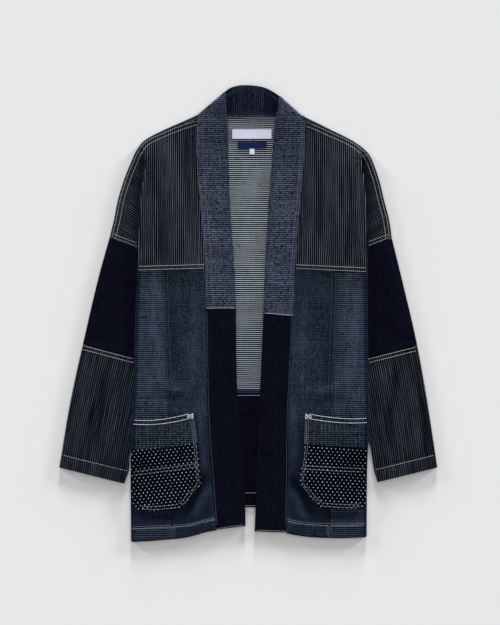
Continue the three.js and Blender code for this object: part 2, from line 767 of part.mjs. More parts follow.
  // The sleeve: a flat tube from the drop seam to the cuff, its inner edge under the body.
  const sleeveRing = (u, shift = 0) => {
    const lengths = (a, b, c) => (u < 1 ? mix(a, b, u) : mix(b, c, u - 1));
    const outerY = lengths(half.capEnd.y, half.sleeveSeamY.outer, half.cuffY.outer);
    const innerY = lengths(half.underarm.y, half.sleeveSeamY.inner, half.cuffY.inner);
    const inner = { out: half.sleeveInner(innerY), y: innerY + shift };
    const outer = { out: half.sleeveOuter(outerY), y: outerY + shift };
    const way = towards(inner, outer);
    const nearTurn = SLEEVE_INNER_RADIUS + FLOOR;
    const farTurn = way.long - SLEEVE_OUTER_RADIUS - FLOOR;
    const at = (run, z, lean) =>
      point(inner.out + way.along * run, inner.y + way.across * run, z, lean, way);
    const low = FLOOR + 2 * SLEEVE_INNER_RADIUS;
    const high = FLOOR + 2 * SLEEVE_OUTER_RADIUS;
    const topZ = (run) => {
      const past = inner.out + way.along * run - half.fold(inner.y + way.across * run) - 3;
      const rise = smooth(Math.min(past / RAMP, (run - nearTurn) / RAMP));
      const soft = 0.6 * smooth(u * 3) * smooth(past / 30) * smooth((farTurn - run) / 25);
      return mix(low, high, rise) + soft;
    };
    return [
      ...steps(5).map((t) => at(mix(nearTurn, farTurn, t), FLOOR, Math.PI)),
      ...[0.25, 0.5, 0.75].map((t) => {
        const lean = Math.PI * (1 - t);
        return at(
          farTurn + SLEEVE_OUTER_RADIUS * Math.sin(lean),
          FLOOR + SLEEVE_OUTER_RADIUS * (1 + Math.cos(lean)),
          lean,
        );
      }),
      ...[0, 0.12, 0.26, 0.4, 0.52, 0.64, 0.8, 1].map((t) => {
        const run = mix(farTurn, nearTurn, t);
        return at(run, topZ(run), 0);
      }),
      ...[1 / 3, 2 / 3].map((t) => {
        const lean = -Math.PI * t;
        return at(
          nearTurn + SLEEVE_INNER_RADIUS * Math.sin(lean),
          FLOOR + SLEEVE_INNER_RADIUS * (1 + Math.cos(lean)),
          lean,
        );
      }),
    ];
  };
  const tube = { sign: half.sign, ring: true };
  const upperRings = [0.12, 0.3, 0.52, 0.76].map((u) => sleeveRing(u));
  const lowerRings = [1.25, 1.5, 1.7, 1.85, 2].map((u) => sleeveRing(u));
  piece(
    `sleeve_upper_${half.name}`,
    "navy",
    wall([sleeveRing(0, -GAP), ...upperRings, sleeveRing(1, GAP / 2)], CLOTH, tube),
  );
  piece(
    `sleeve_lower_${half.name}`,
    "dashed",
    wall([sleeveRing(1, -GAP / 2), ...lowerRings], CLOTH, tube),
  );
}

// The back, in one piece from side to side, with the cloth that turns over the shoulder edges.
const [right, left] = halves;
const acrossBoth = (rightRows, leftRows) =>
  rightRows.map((row, i) => [...row.map(mirrored).reverse(), ...leftRows[i]]);

function backUpperRows(half) {
  const edge = half.inset((out) => STRIP(out) * 0.5 + 1);
  const flat = [0, 0.3, 0.6, 0.85].map((t) => {
    const line = (out) => mix(half.neckSeamY(out), half.corner.y, t);
    const columns = steps(8).map((s) => mix(10, meet(edge, line), s));
    return [...columns.map((out) => point(out, line(out), FLOOR)), ...none(ARMHOLE_COLUMNS)];
  });
  const fold = armholeRows(half, () => 10, () => -LAYER / 2, FLOOR, edge, half.backZ);
  const below = [...underarmLines(half), ...SIDE_LINES, () => BACK_SEAM_Y].map((line) => {
    const end = meet((y) => half.fold(y) - SIDE_TURN_UNDER - GAP, line);
    const columns = bodyColumns(half, 10, end, line(end));
    return [
      ...columns.map((out) => point(out, line(out), half.backZ(out, line(out)))),
      ...none(ARMHOLE_COLUMNS),
    ];
  });
  return [...flat, ...fold, ...below];
}

function shoulderTurn(half) {
  const radius = EDGE_SPACING / 2;
  const rows = steps(22).map((t) => {
    const k = mix(half.edgeStart, half.edgeEnd, t);
    const on = half.edgeAt(k);
    const width = STRIP(on.out);
    const way = towards(half.edgeAt(k, 1), on);
    const place = (depth, z, lean, over) => {
      const at = half.edgeAt(k, depth);
      const out = over ? Math.max(at.out, half.seam(at.y) + GAP) : at.out;
      return point(out, at.y, z, lean, way);
    };
    return [
      place(width, FLOOR + EDGE_SPACING, 0, true),
      ...steps(4).map((s) => {
        const lean = Math.PI * s;
        return place(
          radius + FLOOR - radius * Math.sin(lean),
          FLOOR + radius * (1 + Math.cos(lean)),
          lean,
          s < 0.5,
        );
      }),
      place(width + 4, FLOOR, Math.PI, false),
    ];
  });
  return wall(rows, CLOTH, { sign: half.sign });
}

const backUpper = wall(acrossBoth(backUpperRows(right), backUpperRows(left)), CLOTH);
piece("back_upper", "rib", united([backUpper, ...halves.map(shoulderTurn)]));

const backLowerRows = (half) =>
  [() => BACK_SEAM_Y - GAP, ...SKIRT_LINES, backHemY].map((line) => {
    const end = meet((y) => half.fold(y) - SIDE_TURN_UNDER - GAP, line);
    const columns = bodyColumns(half, 10, end, line(end));
    return columns.map((out) => point(out, line(out), half.backZ(out, line(out))));
  });
piece("back_lower", "navy", wall(acrossBoth(backLowerRows(right), backLowerRows(left)), CLOTH));

// The band behind the neck, lying flat above the neck seam between its two folds.
const neckTop = curve(NECK_TOP, "x", "y");
const neckEnds = halves.map((half) => {
  const way = towards(half.bandFold.free, half.bandFold.seam);
  const inside = (at, radius) => {
    const depth = radius + BAND / 2 + 2.2 + GAP;
    return { out: at.out + way.across * depth, y: at.y - way.along * depth };
  };
  const knee = inside(half.bandFold.free, BAND_ROLL.free);
  const end = curve([inside(half.bandFold.seam, BAND_ROLL.seam), knee], "y", "out");
  const out = meet(end, (at) => half.neckSeamY(at) + GAP);
  const topOut = half.bandFold.free.out - 5;
  return {
    bottom: { out, y: half.neckSeamY(out) + GAP },
    knee,
    top: { out: topOut, y: neckTop(half.sign * topOut) },
  };
});
const neckRows = [0, 0.3, 0.6, 0.9, 1].map((w) => {
  const ends = neckEnds.map(({ bottom, knee, top }) =>
    w < 1 ? mixPoint(bottom, knee, w / 0.9) : top,
  );
  return steps(10).map((c) => {
    const x = mix(-ends[0].out, ends[1].out, c);
    const topX = mix(-neckEnds[0].top.out, neckEnds[1].top.out, c);
    const lowX = mix(-neckEnds[0].bottom.out, neckEnds[1].bottom.out, c);
    const low = (lowX < 0 ? right : left).neckSeamY(Math.abs(lowX)) + GAP;
    const share = ends.map((end, k) => (end.y - neckEnds[k].bottom.y) / (neckEnds[k].top.y - neckEnds[k].bottom.y));
    const y = mix(low, neckTop(topX), mix(share[0], share[1], c));
    return point(x, y, BAND / 2);
  });
});
piece("neck_band", "slub", wall(neckRows, BAND));

for (const { name, x0, x1, y0, y1, cloth } of LABELS)
  piece(
    name,
    cloth,
    wall(
      [y1, y0].map((y) => [x0, x1].map((x) => point(x, y, CLOTH + 0.3 + LABEL / 2))),
      LABEL,
    ),
  );

parts.name = "haori";
export default parts;
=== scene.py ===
"""A cropped open-front haori of patchwork indigo cotton, laid flat on its back and seen from above.

Tables are in millimetres. "out" is a distance from the jacket's centre line, and each side of the
jacket is worked out as its own half, so that its two sides can hang a little unlike.
"""
import math
from types import SimpleNamespace

import bpy
import numpy as np
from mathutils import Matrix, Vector
from mathutils.bvhtree import BVHTree


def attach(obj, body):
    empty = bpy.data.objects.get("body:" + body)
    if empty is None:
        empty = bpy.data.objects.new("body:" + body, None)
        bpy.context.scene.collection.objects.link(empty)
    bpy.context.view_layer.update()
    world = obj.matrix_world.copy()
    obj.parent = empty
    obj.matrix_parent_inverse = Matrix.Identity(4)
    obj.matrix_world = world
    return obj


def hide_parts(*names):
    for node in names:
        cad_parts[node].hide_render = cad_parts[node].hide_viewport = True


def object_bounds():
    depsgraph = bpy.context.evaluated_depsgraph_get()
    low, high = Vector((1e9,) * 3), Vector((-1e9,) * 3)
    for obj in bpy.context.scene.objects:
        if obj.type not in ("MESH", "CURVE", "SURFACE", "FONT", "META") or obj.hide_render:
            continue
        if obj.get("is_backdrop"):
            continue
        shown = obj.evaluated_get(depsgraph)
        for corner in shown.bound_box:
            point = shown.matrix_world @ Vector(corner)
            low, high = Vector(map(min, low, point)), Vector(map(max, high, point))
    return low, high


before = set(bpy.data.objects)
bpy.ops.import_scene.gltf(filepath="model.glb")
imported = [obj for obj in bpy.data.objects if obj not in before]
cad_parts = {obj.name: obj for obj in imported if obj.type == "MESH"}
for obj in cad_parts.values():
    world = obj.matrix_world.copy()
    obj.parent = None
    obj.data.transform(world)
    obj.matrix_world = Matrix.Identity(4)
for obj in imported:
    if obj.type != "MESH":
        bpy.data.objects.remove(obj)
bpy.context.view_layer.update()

# Camera: straight above the laid-out jacket, at the height that gives a view 875 mm wide and
# 1094 mm long on the surface. It looks a few millimetres to the side of the jacket's middle.
VIEW_HEIGHT = 3.0
VIEW_LENGTH = 1.09375
camera_data = bpy.data.cameras.new("camera")
camera_data.sensor_width = 36
camera_data.lens = 36 * VIEW_HEIGHT / VIEW_LENGTH
camera = bpy.data.objects.new("camera", camera_data)
camera.location = (0.0035, 0.0026, VIEW_HEIGHT)
bpy.context.scene.collection.objects.link(camera)
bpy.context.scene.camera = camera

# Floor and light: a plain pale table top under an even sky, with three broad low windows beyond
# the collar, which lay a soft shadow below hem and cuffs and bring out the folds.
floor_mesh = bpy.data.meshes.new("table_top")
floor_mesh.from_pydata([(-6, -6, 0), (6, -6, 0), (6, 6, 0), (-6, 6, 0)], [], [(0, 1, 2, 3)])
floor = bpy.data.objects.new("table_top", floor_mesh)
floor.location.z = -0.0004
bpy.context.scene.collection.objects.link(floor)
floor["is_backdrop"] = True
floor_paint = bpy.data.materials.new("table_top_paint")
floor_paint.use_nodes = True
floor_shader = floor_paint.node_tree.nodes["Principled BSDF"]
floor_shader.inputs["Base Color"].default_value = (0.8, 0.8, 0.8, 1)
floor_shader.inputs["Roughness"].default_value = 0.9
floor_mesh.materials.append(floor_paint)

sky = bpy.data.worlds.new("even_sky")
sky.use_nodes = True
sky.node_tree.nodes["Background"].inputs["Color"].default_value = (1, 1, 1, 1)
sky.node_tree.nodes["Background"].inputs["Strength"].default_value = 0.54
bpy.context.scene.world = sky
bpy.context.scene.view_settings.view_transform = "Standard"

WINDOW_HEIGHT = math.radians(6.4)
WINDOWS = [("left_window", -52, 0.11), ("middle_window", 3, 0.2), ("right_window", 52, 0.15)]
for window_name, bearing, share in WINDOWS:
    window_data = bpy.data.lights.new(window_name, "SUN")
    window_data.energy = share * math.pi / math.sin(WINDOW_HEIGHT)
    window_data.angle = math.radians(8)
    window = bpy.data.objects.new(window_name, window_data)
    flat_way = math.cos(WINDOW_HEIGHT)
    beam = (
        -math.sin(math.radians(bearing)) * flat_way,
        -math.cos(math.radians(bearing)) * flat_way,
        -math.sin(WINDOW_HEIGHT),
    )
    window.rotation_euler = Vector(beam).to_track_quat("-Z", "Y").to_euler()
    bpy.context.scene.collection.objects.link(window)

# Back: one wide sheet of ribbed cloth from the neck seam to the waist, lying on the table with its
# inside up. It lifts over the folded armholes and over the flat sleeves that lie under its sides.
# Its cloth also comes over each shoulder edge as a narrow strip, sewn down in front.
CLOTH = 1.2  # one layer
GAP = 0.4  # between two cloths, and along a seam
LAYER = CLOTH + GAP
FLOOR = CLOTH / 2  # the middle of a cloth that lies on the table
STACK = FLOOR + LAYER / 2  # the middle of back and front where they fold together at the armhole
NECK_SEAM_Y = 343.5
BACK_SEAM_Y = -137.5
FOLD_RADIUS = LAYER
FOLD_REACH = FOLD_RADIUS + LAYER / 2 + FLOOR
SIDE_TURN_UNDER = 12
SLEEVE_STACK = 3.4  # a flat sleeve's two layers
EDGE_SPACING = 3.0  # between the two runs of the cloth that turns over the shoulder edge
RAMP = 18  # how far the back takes to rise over a sleeve


def smooth(t):
    t = np.clip(t, 0, 1)
    return t * t * (3 - 2 * t)


def mix(a, b, t):
    return a + (b - a) * t


def curve(table, inward=0, outward=1):
    """A smooth curve through a table, from its one column to its other."""
    rows = sorted(table, key=lambda row: row[inward])
    at = np.array([row[inward] for row in rows], float)
    value = np.array([row[outward] for row in rows], float)
    slope = np.empty_like(value)
    slope[1:-1] = (value[2:] - value[:-2]) / (at[2:] - at[:-2])
    slope[0] = (value[1] - value[0]) / (at[1] - at[0])
    slope[-1] = (value[-1] - value[-2]) / (at[-1] - at[-2])

    def read(where):
        where = np.asarray(where, float)
        i = np.clip(np.searchsorted(at, where, side="right") - 1, 0, len(at) - 2)
        span = at[i + 1] - at[i]
        t = np.clip((where - at[i]) / span, 0, 1)
        inside = (
            value[i] * (1 - t) ** 2 * (1 + 2 * t)
            + value[i + 1] * t**2 * (3 - 2 * t)
            + slope[i] * span * t * (1 - t) ** 2
            - slope[i + 1] * span * t**2 * (1 - t)
        )
        before = value[0] + slope[0] * (where - at[0])
        after = value[-1] + slope[-1] * (where - at[-1])
        return np.where(where < at[0], before, np.where(where > at[-1], after, inside))

    return read


def meet(edge, line):
    """Where a line across the garment, y at a distance out, meets an edge, out at y."""
    out = edge(line(120.0))
    for _ in range(5):
        out = edge(line(out))
    return out


def towards(start, end):
    step = np.subtract(end, start)
    return step / np.hypot(*step)


# The rows of a shoulder are out and y. Those of a side and of a sleeve's inner edge are y and out,
# and those of a band are y, then out at its free edge and at its seam.
right = SimpleNamespace(
    name="right",
    sign=-1,
    corner=(183.5, 288),  # out and y where the armhole fold starts
    underarm_y=115.5,  # where it ends at the side
    underarm=(112, 84),  # out and y where its tuck ends and the sleeve's inner edge starts
    cuff_clear=-240,  # where the sleeve comes out from under the side
    neck_drop=0,
    band_fold=((87.3, 349.3), (41, 388.5)),  # out and y of the band's roll at seam and free edge
    yoke_seam_y=(78, 74.5),  # beside the band and at the side
    shoulder=[
        (72, 355.5), (115.5, 336), (147, 322), (180, 304.5), (194.5, 287),
        (203, 269.5), (217, 234.5), (227.5, 199.5), (234.5, 164.5), (242, 134),
    ],
    side=[
        (300, 186), (288, 183.5), (277, 180.5), (260, 179.5), (240, 181.5), (215, 186),
        (190, 188.5), (112, 191.5), (25, 196), (-115, 200.5), (-240, 205), (-397, 204.5),
    ],
    sleeve_inner=[
        (84, 112), (-130, 172), (-215, 196.5), (-243, 206.5), (-273, 208.5), (-296.5, 216.5),
    ],
    band=[
        (392, 40, 85), (343, 36, 89), (300, 34.5, 90), (248, 33.5, 89), (195, 31.5, 84),
        (147, 28.5, 79.5), (95, 24.5, 76), (25, 21.5, 73.5), (-115, 19.5, 71.5),
        (-185, 14.5, 69.5), (-290, 6.5, 62), (-376, 4, 55.5),
    ],
)
left = SimpleNamespace(
    name="left",
    sign=1,
    corner=(198.5, 282),
    underarm_y=115.5,
    underarm=(128, 87),
    cuff_clear=-228,
    neck_drop=2.2,
    band_fold=((94.5, 346.6), (56.3, 381)),
    yoke_seam_y=(78, 72.5),
    shoulder=[
        (80, 353.5), (117.5, 336), (145.5, 322), (180.5, 304.5), (205, 287),
        (217, 269.5), (229.5, 234.5), (238, 199.5), (247, 164.5), (251.5, 133),
    ],
    side=[
        (290, 200), (282, 198.5), (269, 198), (250, 201), (232, 203.5), (185, 206),
        (120, 207.5), (25, 209), (-115, 210.5), (-185, 211.5), (-268, 208.5), (-397, 207.5),
    ],
    sleeve_inner=[
        (87, 128), (-100, 173), (-195, 199), (-230, 213), (-275, 221), (-294, 226.5),
    ],
    band=[
        (392, 57, 99), (343, 48, 100), (300, 44, 99), (248, 40.5, 96), (195, 36, 91.5),
        (147, 33, 87), (95, 30, 83), (25, 27.8, 79.5), (-115, 22, 73), (-185, 19, 70),
        (-290, 15, 69), (-383, 11.5, 67),
    ],
)
halves = (right, left)


def lay_out(half):
    """Gives a half its edges, its folded armhole and the height of its back as functions."""
    fold = half.fold = curve(half.side)
    half.seam = curve(half.band, 0, 2)
    sleeve_inner = curve(half.sleeve_inner)
    tuck_edge = curve([half.underarm, half.corner], 1, 0)
    edge_out = curve([(k, row[0]) for k, row in enumerate(half.shoulder)])
    edge_y = curve([(k, row[1]) for k, row in enumerate(half.shoulder)])
    tries = np.linspace(0, 1, 201)
    half.edge_start = tries[edge_out(tries) > half.band_fold[0][0] - 0.6][0]
    half.edge_end = len(half.shoulder) - 1
    half.cap_end = half.shoulder[-1]

    def armhole(y):
        """The armhole fold at a height y: its tuck, its turn, the run between turns, its lift."""
        share = np.clip((half.corner[1] - y) / (half.corner[1] - half.underarm_y), 0, 1)
        tuck_out = mix(half.corner[0], half.underarm[0], share)
        tuck_y = mix(half.corner[1], half.underarm[1], share)
        depth = np.hypot(fold(y) - tuck_out, y - tuck_y) * smooth(share * 20)
        turn = math.pi * smooth(depth / 10)
        leg = np.maximum(1, (depth - 2 * FOLD_REACH) * (1 - np.sin(turn)))
        lift = 2 * FOLD_RADIUS * (1 - np.cos(turn)) + leg * np.sin(turn)
        return SimpleNamespace(tuck=(tuck_out, tuck_y), turn=turn, leg=leg, lift=lift)

    def under_edge(y):
        """The inner edge of what lies under the body: the tuck, and the sleeve below it."""
        body = tuck_edge(np.minimum(y, half.corner[1]))
        return np.where(y < half.underarm[1], np.minimum(sleeve_inner(y), fold(y) - 10), body)

    def drop_y(out):
        share = (out - half.underarm[0]) / (half.cap_end[0] - half.underarm[0])
        return mix(half.underarm[1], half.cap_end[1], share)

    def over_sleeve(y):
        return smooth((y - half.cuff_clear + 45) / 40)

    def back_z(out, y):
        above = y - np.minimum(half.underarm_y, drop_y(out))
        folded = armhole(np.maximum(y, half.underarm_y)).lift
        flat = SLEEVE_STACK * over_sleeve(y)
        height = mix(flat, folded, np.where(above >= 0, 1, 1 - smooth((-1 - above) / 25)))
        return FLOOR + height * smooth((out - under_edge(y) + RAMP + 4) / RAMP)

    def edge_at(k, depth=0.0):
        """A place on the shoulder and cap edge, or at a depth inside it."""
        way = towards((edge_out(k - 0.01), edge_y(k - 0.01)), (edge_out(k + 0.01), edge_y(k + 0.01)))
        return np.array([edge_out(k) + way[1] * depth, edge_y(k) - way[0] * depth])

    def inset(depth_at):
        """A line inside the shoulder and cap edge, out at y."""
        rows = [edge_at(k, depth_at(edge_out(k))) for k in np.linspace(0, half.edge_end, 51)]
        kept = [rows[0]]
        for before, row in zip(rows, rows[1:]):
            if row[1] < before[1] - 0.5:
                kept.append(row)
        return curve(kept, 1, 0)

    half.armhole, half.under_edge, half.drop_y, half.over_sleeve = armhole, under_edge, drop_y, over_sleeve
    half.back_z, half.edge_at, half.inset = back_z, edge_at, inset
    half.side_seam = lambda y: fold(y) - SIDE_TURN_UNDER - GAP
    half.neck_seam_y = lambda out: NECK_SEAM_Y - half.neck_drop * smooth((out - 70) / 18)
    half.yoke_line = lambda out: mix(*half.yoke_seam_y, (out - 75) / 120)


for half in halves:
    lay_out(half)

OUTWARD = np.array([1.0, 0.0])  # straight away from the centre line, in plan


def places(out, y, z, lean=0.0, way=OUTWARD, u=None, v=None):
    """Points of a cloth's middle, each with the way its upper face looks and its place u, v
    on the flat cloth. The lean turns that face from straight up towards a way in plan."""
    out, y, z, lean = np.broadcast_arrays(*(np.asarray(a, float) for a in (out, y, z, lean)))
    u = out if u is None else u
    v = y if v is None else v
    columns = (
        out, y, z, np.sin(lean) * way[0], np.sin(lean) * way[1], np.cos(lean),
        np.broadcast_to(u, out.shape), np.broadcast_to(v, out.shape),
    )
    return np.stack(columns, axis=-1)


def cloth(name, grids, thickness=CLOTH, ring=False):
    """A thin closed shell around one or more grids of places, half its thickness to each side.
    Each comes with the side's sign and the materials of its upper and lower faces. A place that
    isn't a number is left out, and in a ring the last column is the first again."""
    verts, faces, uvs, slots = [], [], [], []
    for sign, grid, upper_slot, lower_slot in grids:
        rows, columns = grid.shape[:2]
        there = ~np.isnan(grid[..., 0])
        number = np.full((rows, columns), -1)
        own = there.copy()
        if ring:
            own[:, -1] = False
        number[own] = np.arange(own.sum()) + len(verts) // 2
        if ring:
            number[:, -1] = number[:, 0]
        flat = grid[own]
        half_way = flat[:, 3:6] * (thickness / 2)
        both = np.stack([flat[:, :3] + half_way, flat[:, :3] - half_way], axis=1).reshape(-1, 3)
        both[:, 0] *= sign
        verts.extend((both * 0.001).tolist())
        place_uv = grid[..., 6:8] * (sign, 1)
        cell = there[:-1, :-1] & there[1:, :-1] & there[:-1, 1:] & there[1:, 1:]
        corners = ((0, 0), (0, 1), (1, 1), (1, 0))
        for i, j in zip(*np.nonzero(cell)):
            ids = [2 * number[i + a, j + b] for a, b in corners]
            uv = [place_uv[i + a, j + b] for a, b in corners]
            top = list(zip(ids, uv))
            under = [(k + 1, w) for k, w in reversed(top)]
            if sign < 0:
                top, under = top[::-1], under[::-1]
            for loop, slot in ((top, upper_slot), (under, lower_slot)):
                faces.append([k for k, _ in loop])
                uvs.extend(w for _, w in loop)
                slots.append(slot)
            sides = ((0, 1, i - 1, j), (1, 2, i, j + 1), (2, 3, i + 1, j), (3, 0, i, j - 1))
            for a, b, row, column in sides:
                if ring:
                    column %= columns - 1
                inside = 0 <= row < rows - 1 and 0 <= column < columns - 1
                if inside and cell[row, column]:
                    continue
                loop = [(ids[a], uv[a]), (ids[a] + 1, uv[a]), (ids[b] + 1, uv[b]), (ids[b], uv[b])]
                if sign < 0:
                    loop.reverse()
                faces.append([k for k, _ in loop])
                uvs.extend(w for _, w in loop)
                slots.append(upper_slot)
    mesh = bpy.data.meshes.new(name)
    mesh.from_pydata(verts, [], faces)
    layer = mesh.uv_layers.new(name="cloth_mm")
    layer.data.foreach_set("uv", np.array(uvs, "f").ravel())
    mesh.polygons.foreach_set("material_index", slots)
    mesh.polygons.foreach_set("use_smooth", [True] * len(faces))
    mesh.set_sharp_from_angle(angle=math.radians(55))
    mesh.update()
    made = bpy.data.objects.new(name, mesh)
    bpy.context.scene.collection.objects.link(made)
    return made


TURN = np.linspace(0, 1, 9)[1:]  # steps round a fold
CAP = np.linspace(0, 1, 25)[1:]  # steps out along the cap
ARMHOLE_COLUMNS = 2 * len(TURN) + 2 + len(CAP)
BODY_COLUMNS = 46
CAP_GRAIN = math.radians(55)  # how far the cap's cloth is turned by its two folds


def strip_width(out):
    """The back's cloth over the shoulder edge."""
    return mix(mix(7.6, 4.2, smooth((out - 88) / 40)), 2.6, smooth((out - 125) / 60))


def fold_start(half, y):
    return half.fold(y) - FOLD_REACH * np.sin(np.minimum(half.armhole(y).turn, math.pi / 2))


def armhole_columns(half, y, above, cap_z, cap_end, lift):
    """A row beyond the body at the armhole: round the fold, in under the body to the tuck, round
    it, and out again as the cap. The layer lies above the middle of the stack, or below it."""
    hole = half.armhole(y)
    turn, leg = float(hole.turn), float(hole.leg)
    leg_way = towards(hole.tuck, (half.fold(y), y))
    cap_way = towards(hole.tuck, cap_end)
    square = math.pi / 2
    fold_out = float(half.fold(y))
    row = []

    def grain(place, angle, on_cap):
        """The place on the flat cloth, unfolded over the side fold and over the tuck."""
        if on_cap:
            step = np.subtract(place, half.corner)
            cos, sin = math.cos(CAP_GRAIN), math.sin(CAP_GRAIN)
            return (
                half.corner[0] + step[0] * cos - step[1] * sin,
                half.corner[1] + step[0] * sin + step[1] * cos,
            )
        return (2 * fold_out - place[0] if angle > square else place[0]), place[1]

    def add(at, z, angle, way, on_cap=False):
        place = at + np.sin(angle) * way * above
        u, v = grain(place, angle, on_cap)
        row.append(places(place[0], place[1], z + math.cos(angle) * above, angle, way, u, v))

    start = np.array([float(fold_start(half, y)), y])
    start_z = STACK + lift
    at, z = start, start_z
    for t in TURN:
        angle = turn * t
        at = start + OUTWARD * FOLD_RADIUS * math.sin(min(angle, square))
        z = start_z - FOLD_RADIUS * (1 - math.cos(angle))
        if angle > square:
            at = at + leg_way * FOLD_RADIUS * (math.sin(angle) - 1)
        add(at, z, angle, leg_way if angle > square else OUTWARD)
    leg_unit = leg_way if turn > square else cap_way
    turned, turned_z = at, z
    for run in (min(SIDE_TURN_UNDER - FOLD_REACH, leg / 2), leg):
        at = turned + leg_unit * math.cos(turn) * run
        z = turned_z - math.sin(turn) * run
        add(at, z, turn, leg_unit)
    low, low_z = at, z
    for t in TURN:
        angle = turn * (1 - t)
        z = low_z - FOLD_RADIUS * (math.cos(angle) - math.cos(turn))
        inward = FOLD_RADIUS * (math.sin(turn) - math.sin(max(angle, square))) if turn > square else 0
        outward = FOLD_RADIUS * (math.sin(min(turn, square)) - math.sin(min(angle, square)))
        at = low + leg_way * inward + cap_way * outward
        add(at, z, angle, leg_way if angle > square else cap_way, angle <= square)
    begin = row[-1]
    room = min(18, max(4, cap_end[0] - fold_out - 3))
    for t in CAP:
        place = mix(begin[:2], np.asarray(cap_end, float), t)
        rise = smooth((place[0] - fold_out - 3) / room)
        u, v = grain(place, 0, True)
        row.append(places(place[0], place[1], mix(begin[2], cap_z, rise), u=u, v=v))
    return np.array(row)


def between(start, end, count):
    return [mix(start, end, t) for t in np.linspace(0, 1, count + 1)]


SHARES = np.concatenate([np.linspace(0.05, 0.2, 19), np.linspace(0.2, 1, 50)[1:]])


def armhole_rows(half, inner, above, cap_z, cap_edge, body_z, lift):
    """Rows of a layer from the corner of the armhole fold to the underarm."""
    low = float(half.drop_y(meet(cap_edge, half.drop_y)))

    def at_share(share):
        y = mix(half.corner[1], half.underarm_y, share)
        end_y = mix(half.corner[1], low, share)
        cap_end = (float(cap_edge(end_y)), end_y)
        start = float(fold_start(half, y))
        out = np.linspace(float(inner(y)), start, BODY_COLUMNS)
        body = places(out, y, body_z(out, y))
        if share > 0:
            beyond = armhole_columns(half, y, above(y), cap_z, cap_end, float(lift(y)))
            return np.concatenate([body, beyond])
        spread = mix(start, cap_end[0], np.linspace(0, 1, ARMHOLE_COLUMNS + 1)[1:])
        return np.concatenate([body, places(spread, y, cap_z)])

    first, second = at_share(0), at_share(SHARES[0])
    return between(first, second, 3)[:-1] + [at_share(share) for share in SHARES]


def widened(grid):
    """Rows of the body, with no places beyond it as far as the armhole's rows reach."""
    more = BODY_COLUMNS + ARMHOLE_COLUMNS - grid.shape[1]
    return np.concatenate([grid, np.full((len(grid), more, 8), np.nan)], axis=1)


def body_rows(lines, inner, outer, columns, z):
    """Rows between two edges, each along its own line across the garment."""
    grid = []
    for line in lines:
        out = np.linspace(float(meet(inner, line)), float(meet(outer, line)), columns)
        grid.append(places(out, line(out), z(out, line(out))))
    return np.array(grid)


def level(y):
    return lambda out: y + 0 * out


MIDDLE = level(10.0)  # the rows of the two sides of the back start here


def lines_between(top, bottom, count):
    """Lines across the garment, evenly from one to another."""

    def line(t):
        return lambda out: mix(top(out), bottom(out), t)

    return [line(t) for t in np.linspace(0, 1, count + 1)]


def back_upper_rows(half):
    edge = half.inset(lambda out: strip_width(out) * 0.5 + 1)
    neck = lines_between(half.neck_seam_y, level(half.corner[1] + 0.15), 18)
    flat = body_rows(neck, MIDDLE, edge, BODY_COLUMNS, lambda out, y: FLOOR + 0 * out)
    fold = armhole_rows(
        half, MIDDLE, lambda y: -LAYER / 2, FLOOR, edge, half.back_z, lambda y: half.armhole(y).lift
    )
    yoke = lines_between(level(half.underarm_y), half.yoke_line, 12)[1:]
    waist = lines_between(half.yoke_line, level(BACK_SEAM_Y), 64)[1:]
    below = body_rows(yoke + waist, MIDDLE, half.side_seam, BODY_COLUMNS, half.back_z)
    return np.concatenate([widened(flat), np.array(fold), widened(below)])


def shoulder_turn(half):
    """The back's cloth round the shoulder and cap edge."""
    rows = []
    along = 0.0
    before = half.edge_at(half.edge_start)
    for k in np.linspace(half.edge_start, half.edge_end, 76):
        on = half.edge_at(k)
        along += float(np.hypot(*(on - before)))
        before = on
        width = float(strip_width(on[0]))
        radius = mix(1.0, EDGE_SPACING / 2, smooth((k - half.edge_start) / 0.5))
        way = towards(half.edge_at(k, 1), on)

        def place(depth, z, lean, over, cut):
            at = half.edge_at(k, depth)
            out = max(at[0], float(half.seam(at[1])) - 1.5) if over else at[0]
            return places(out, at[1], z, lean, way, along, cut)

        row = [
            place(depth, FLOOR + 2 * radius, 0, True, -depth)
            for depth in np.linspace(width, radius + FLOOR, 5)[:-1]
        ]
        for s in np.linspace(0, 1, 11):
            lean = math.pi * s
            depth = radius + FLOOR - radius * math.sin(lean)
            z = FLOOR + radius * (1 + math.cos(lean))
            row.append(place(depth, z, lean, s < 0.5, radius * lean))
        row.append(place(width * 0.5 + 0.95, FLOOR, math.pi, False, width))
        rows.append(np.array(row))
    return np.array(rows)


def both_sides(right_rows, left_rows):
    turned = right_rows[:, ::-1].copy()
    turned[..., [0, 3, 6]] *= -1
    return np.concatenate([turned, left_rows], axis=1)


def feed(tree, socket, value):
    """Joins a socket to another one, or gives it a number or colour."""
    if isinstance(value, bpy.types.NodeSocket):
        tree.links.new(value, socket)
    else:
        socket.default_value = value


def maths(tree, operation, *values):
    made = tree.nodes.new("ShaderNodeMath")
    made.operation = operation
    for socket, value in zip(made.inputs, values):
        feed(tree, socket, value)
    return made.outputs[0]


def plus(tree, first, second):
    return maths(tree, "ADD", first, second)


def times(tree, first, second, more=None):
    """A product, or with more a product and a sum."""
    if more is None:
        return maths(tree, "MULTIPLY", first, second)
    return maths(tree, "MULTIPLY_ADD", first, second, more)


def noise(tree, across, along, seed, detail=1.0):
    """Soft noise from about -0.6 to 0.6."""
    place = tree.nodes.new("ShaderNodeCombineXYZ")
    for socket, value in zip(place.inputs, (across, along, seed)):
        feed(tree, socket, value)
    made = tree.nodes.new("ShaderNodeTexNoise")
    made.inputs["Scale"].default_value = 1.0
    made.inputs["Detail"].default_value = detail
    tree.links.new(place.outputs[0], made.inputs["Vector"])
    return times(tree, made.outputs["Fac"], 2.0, -1.0)


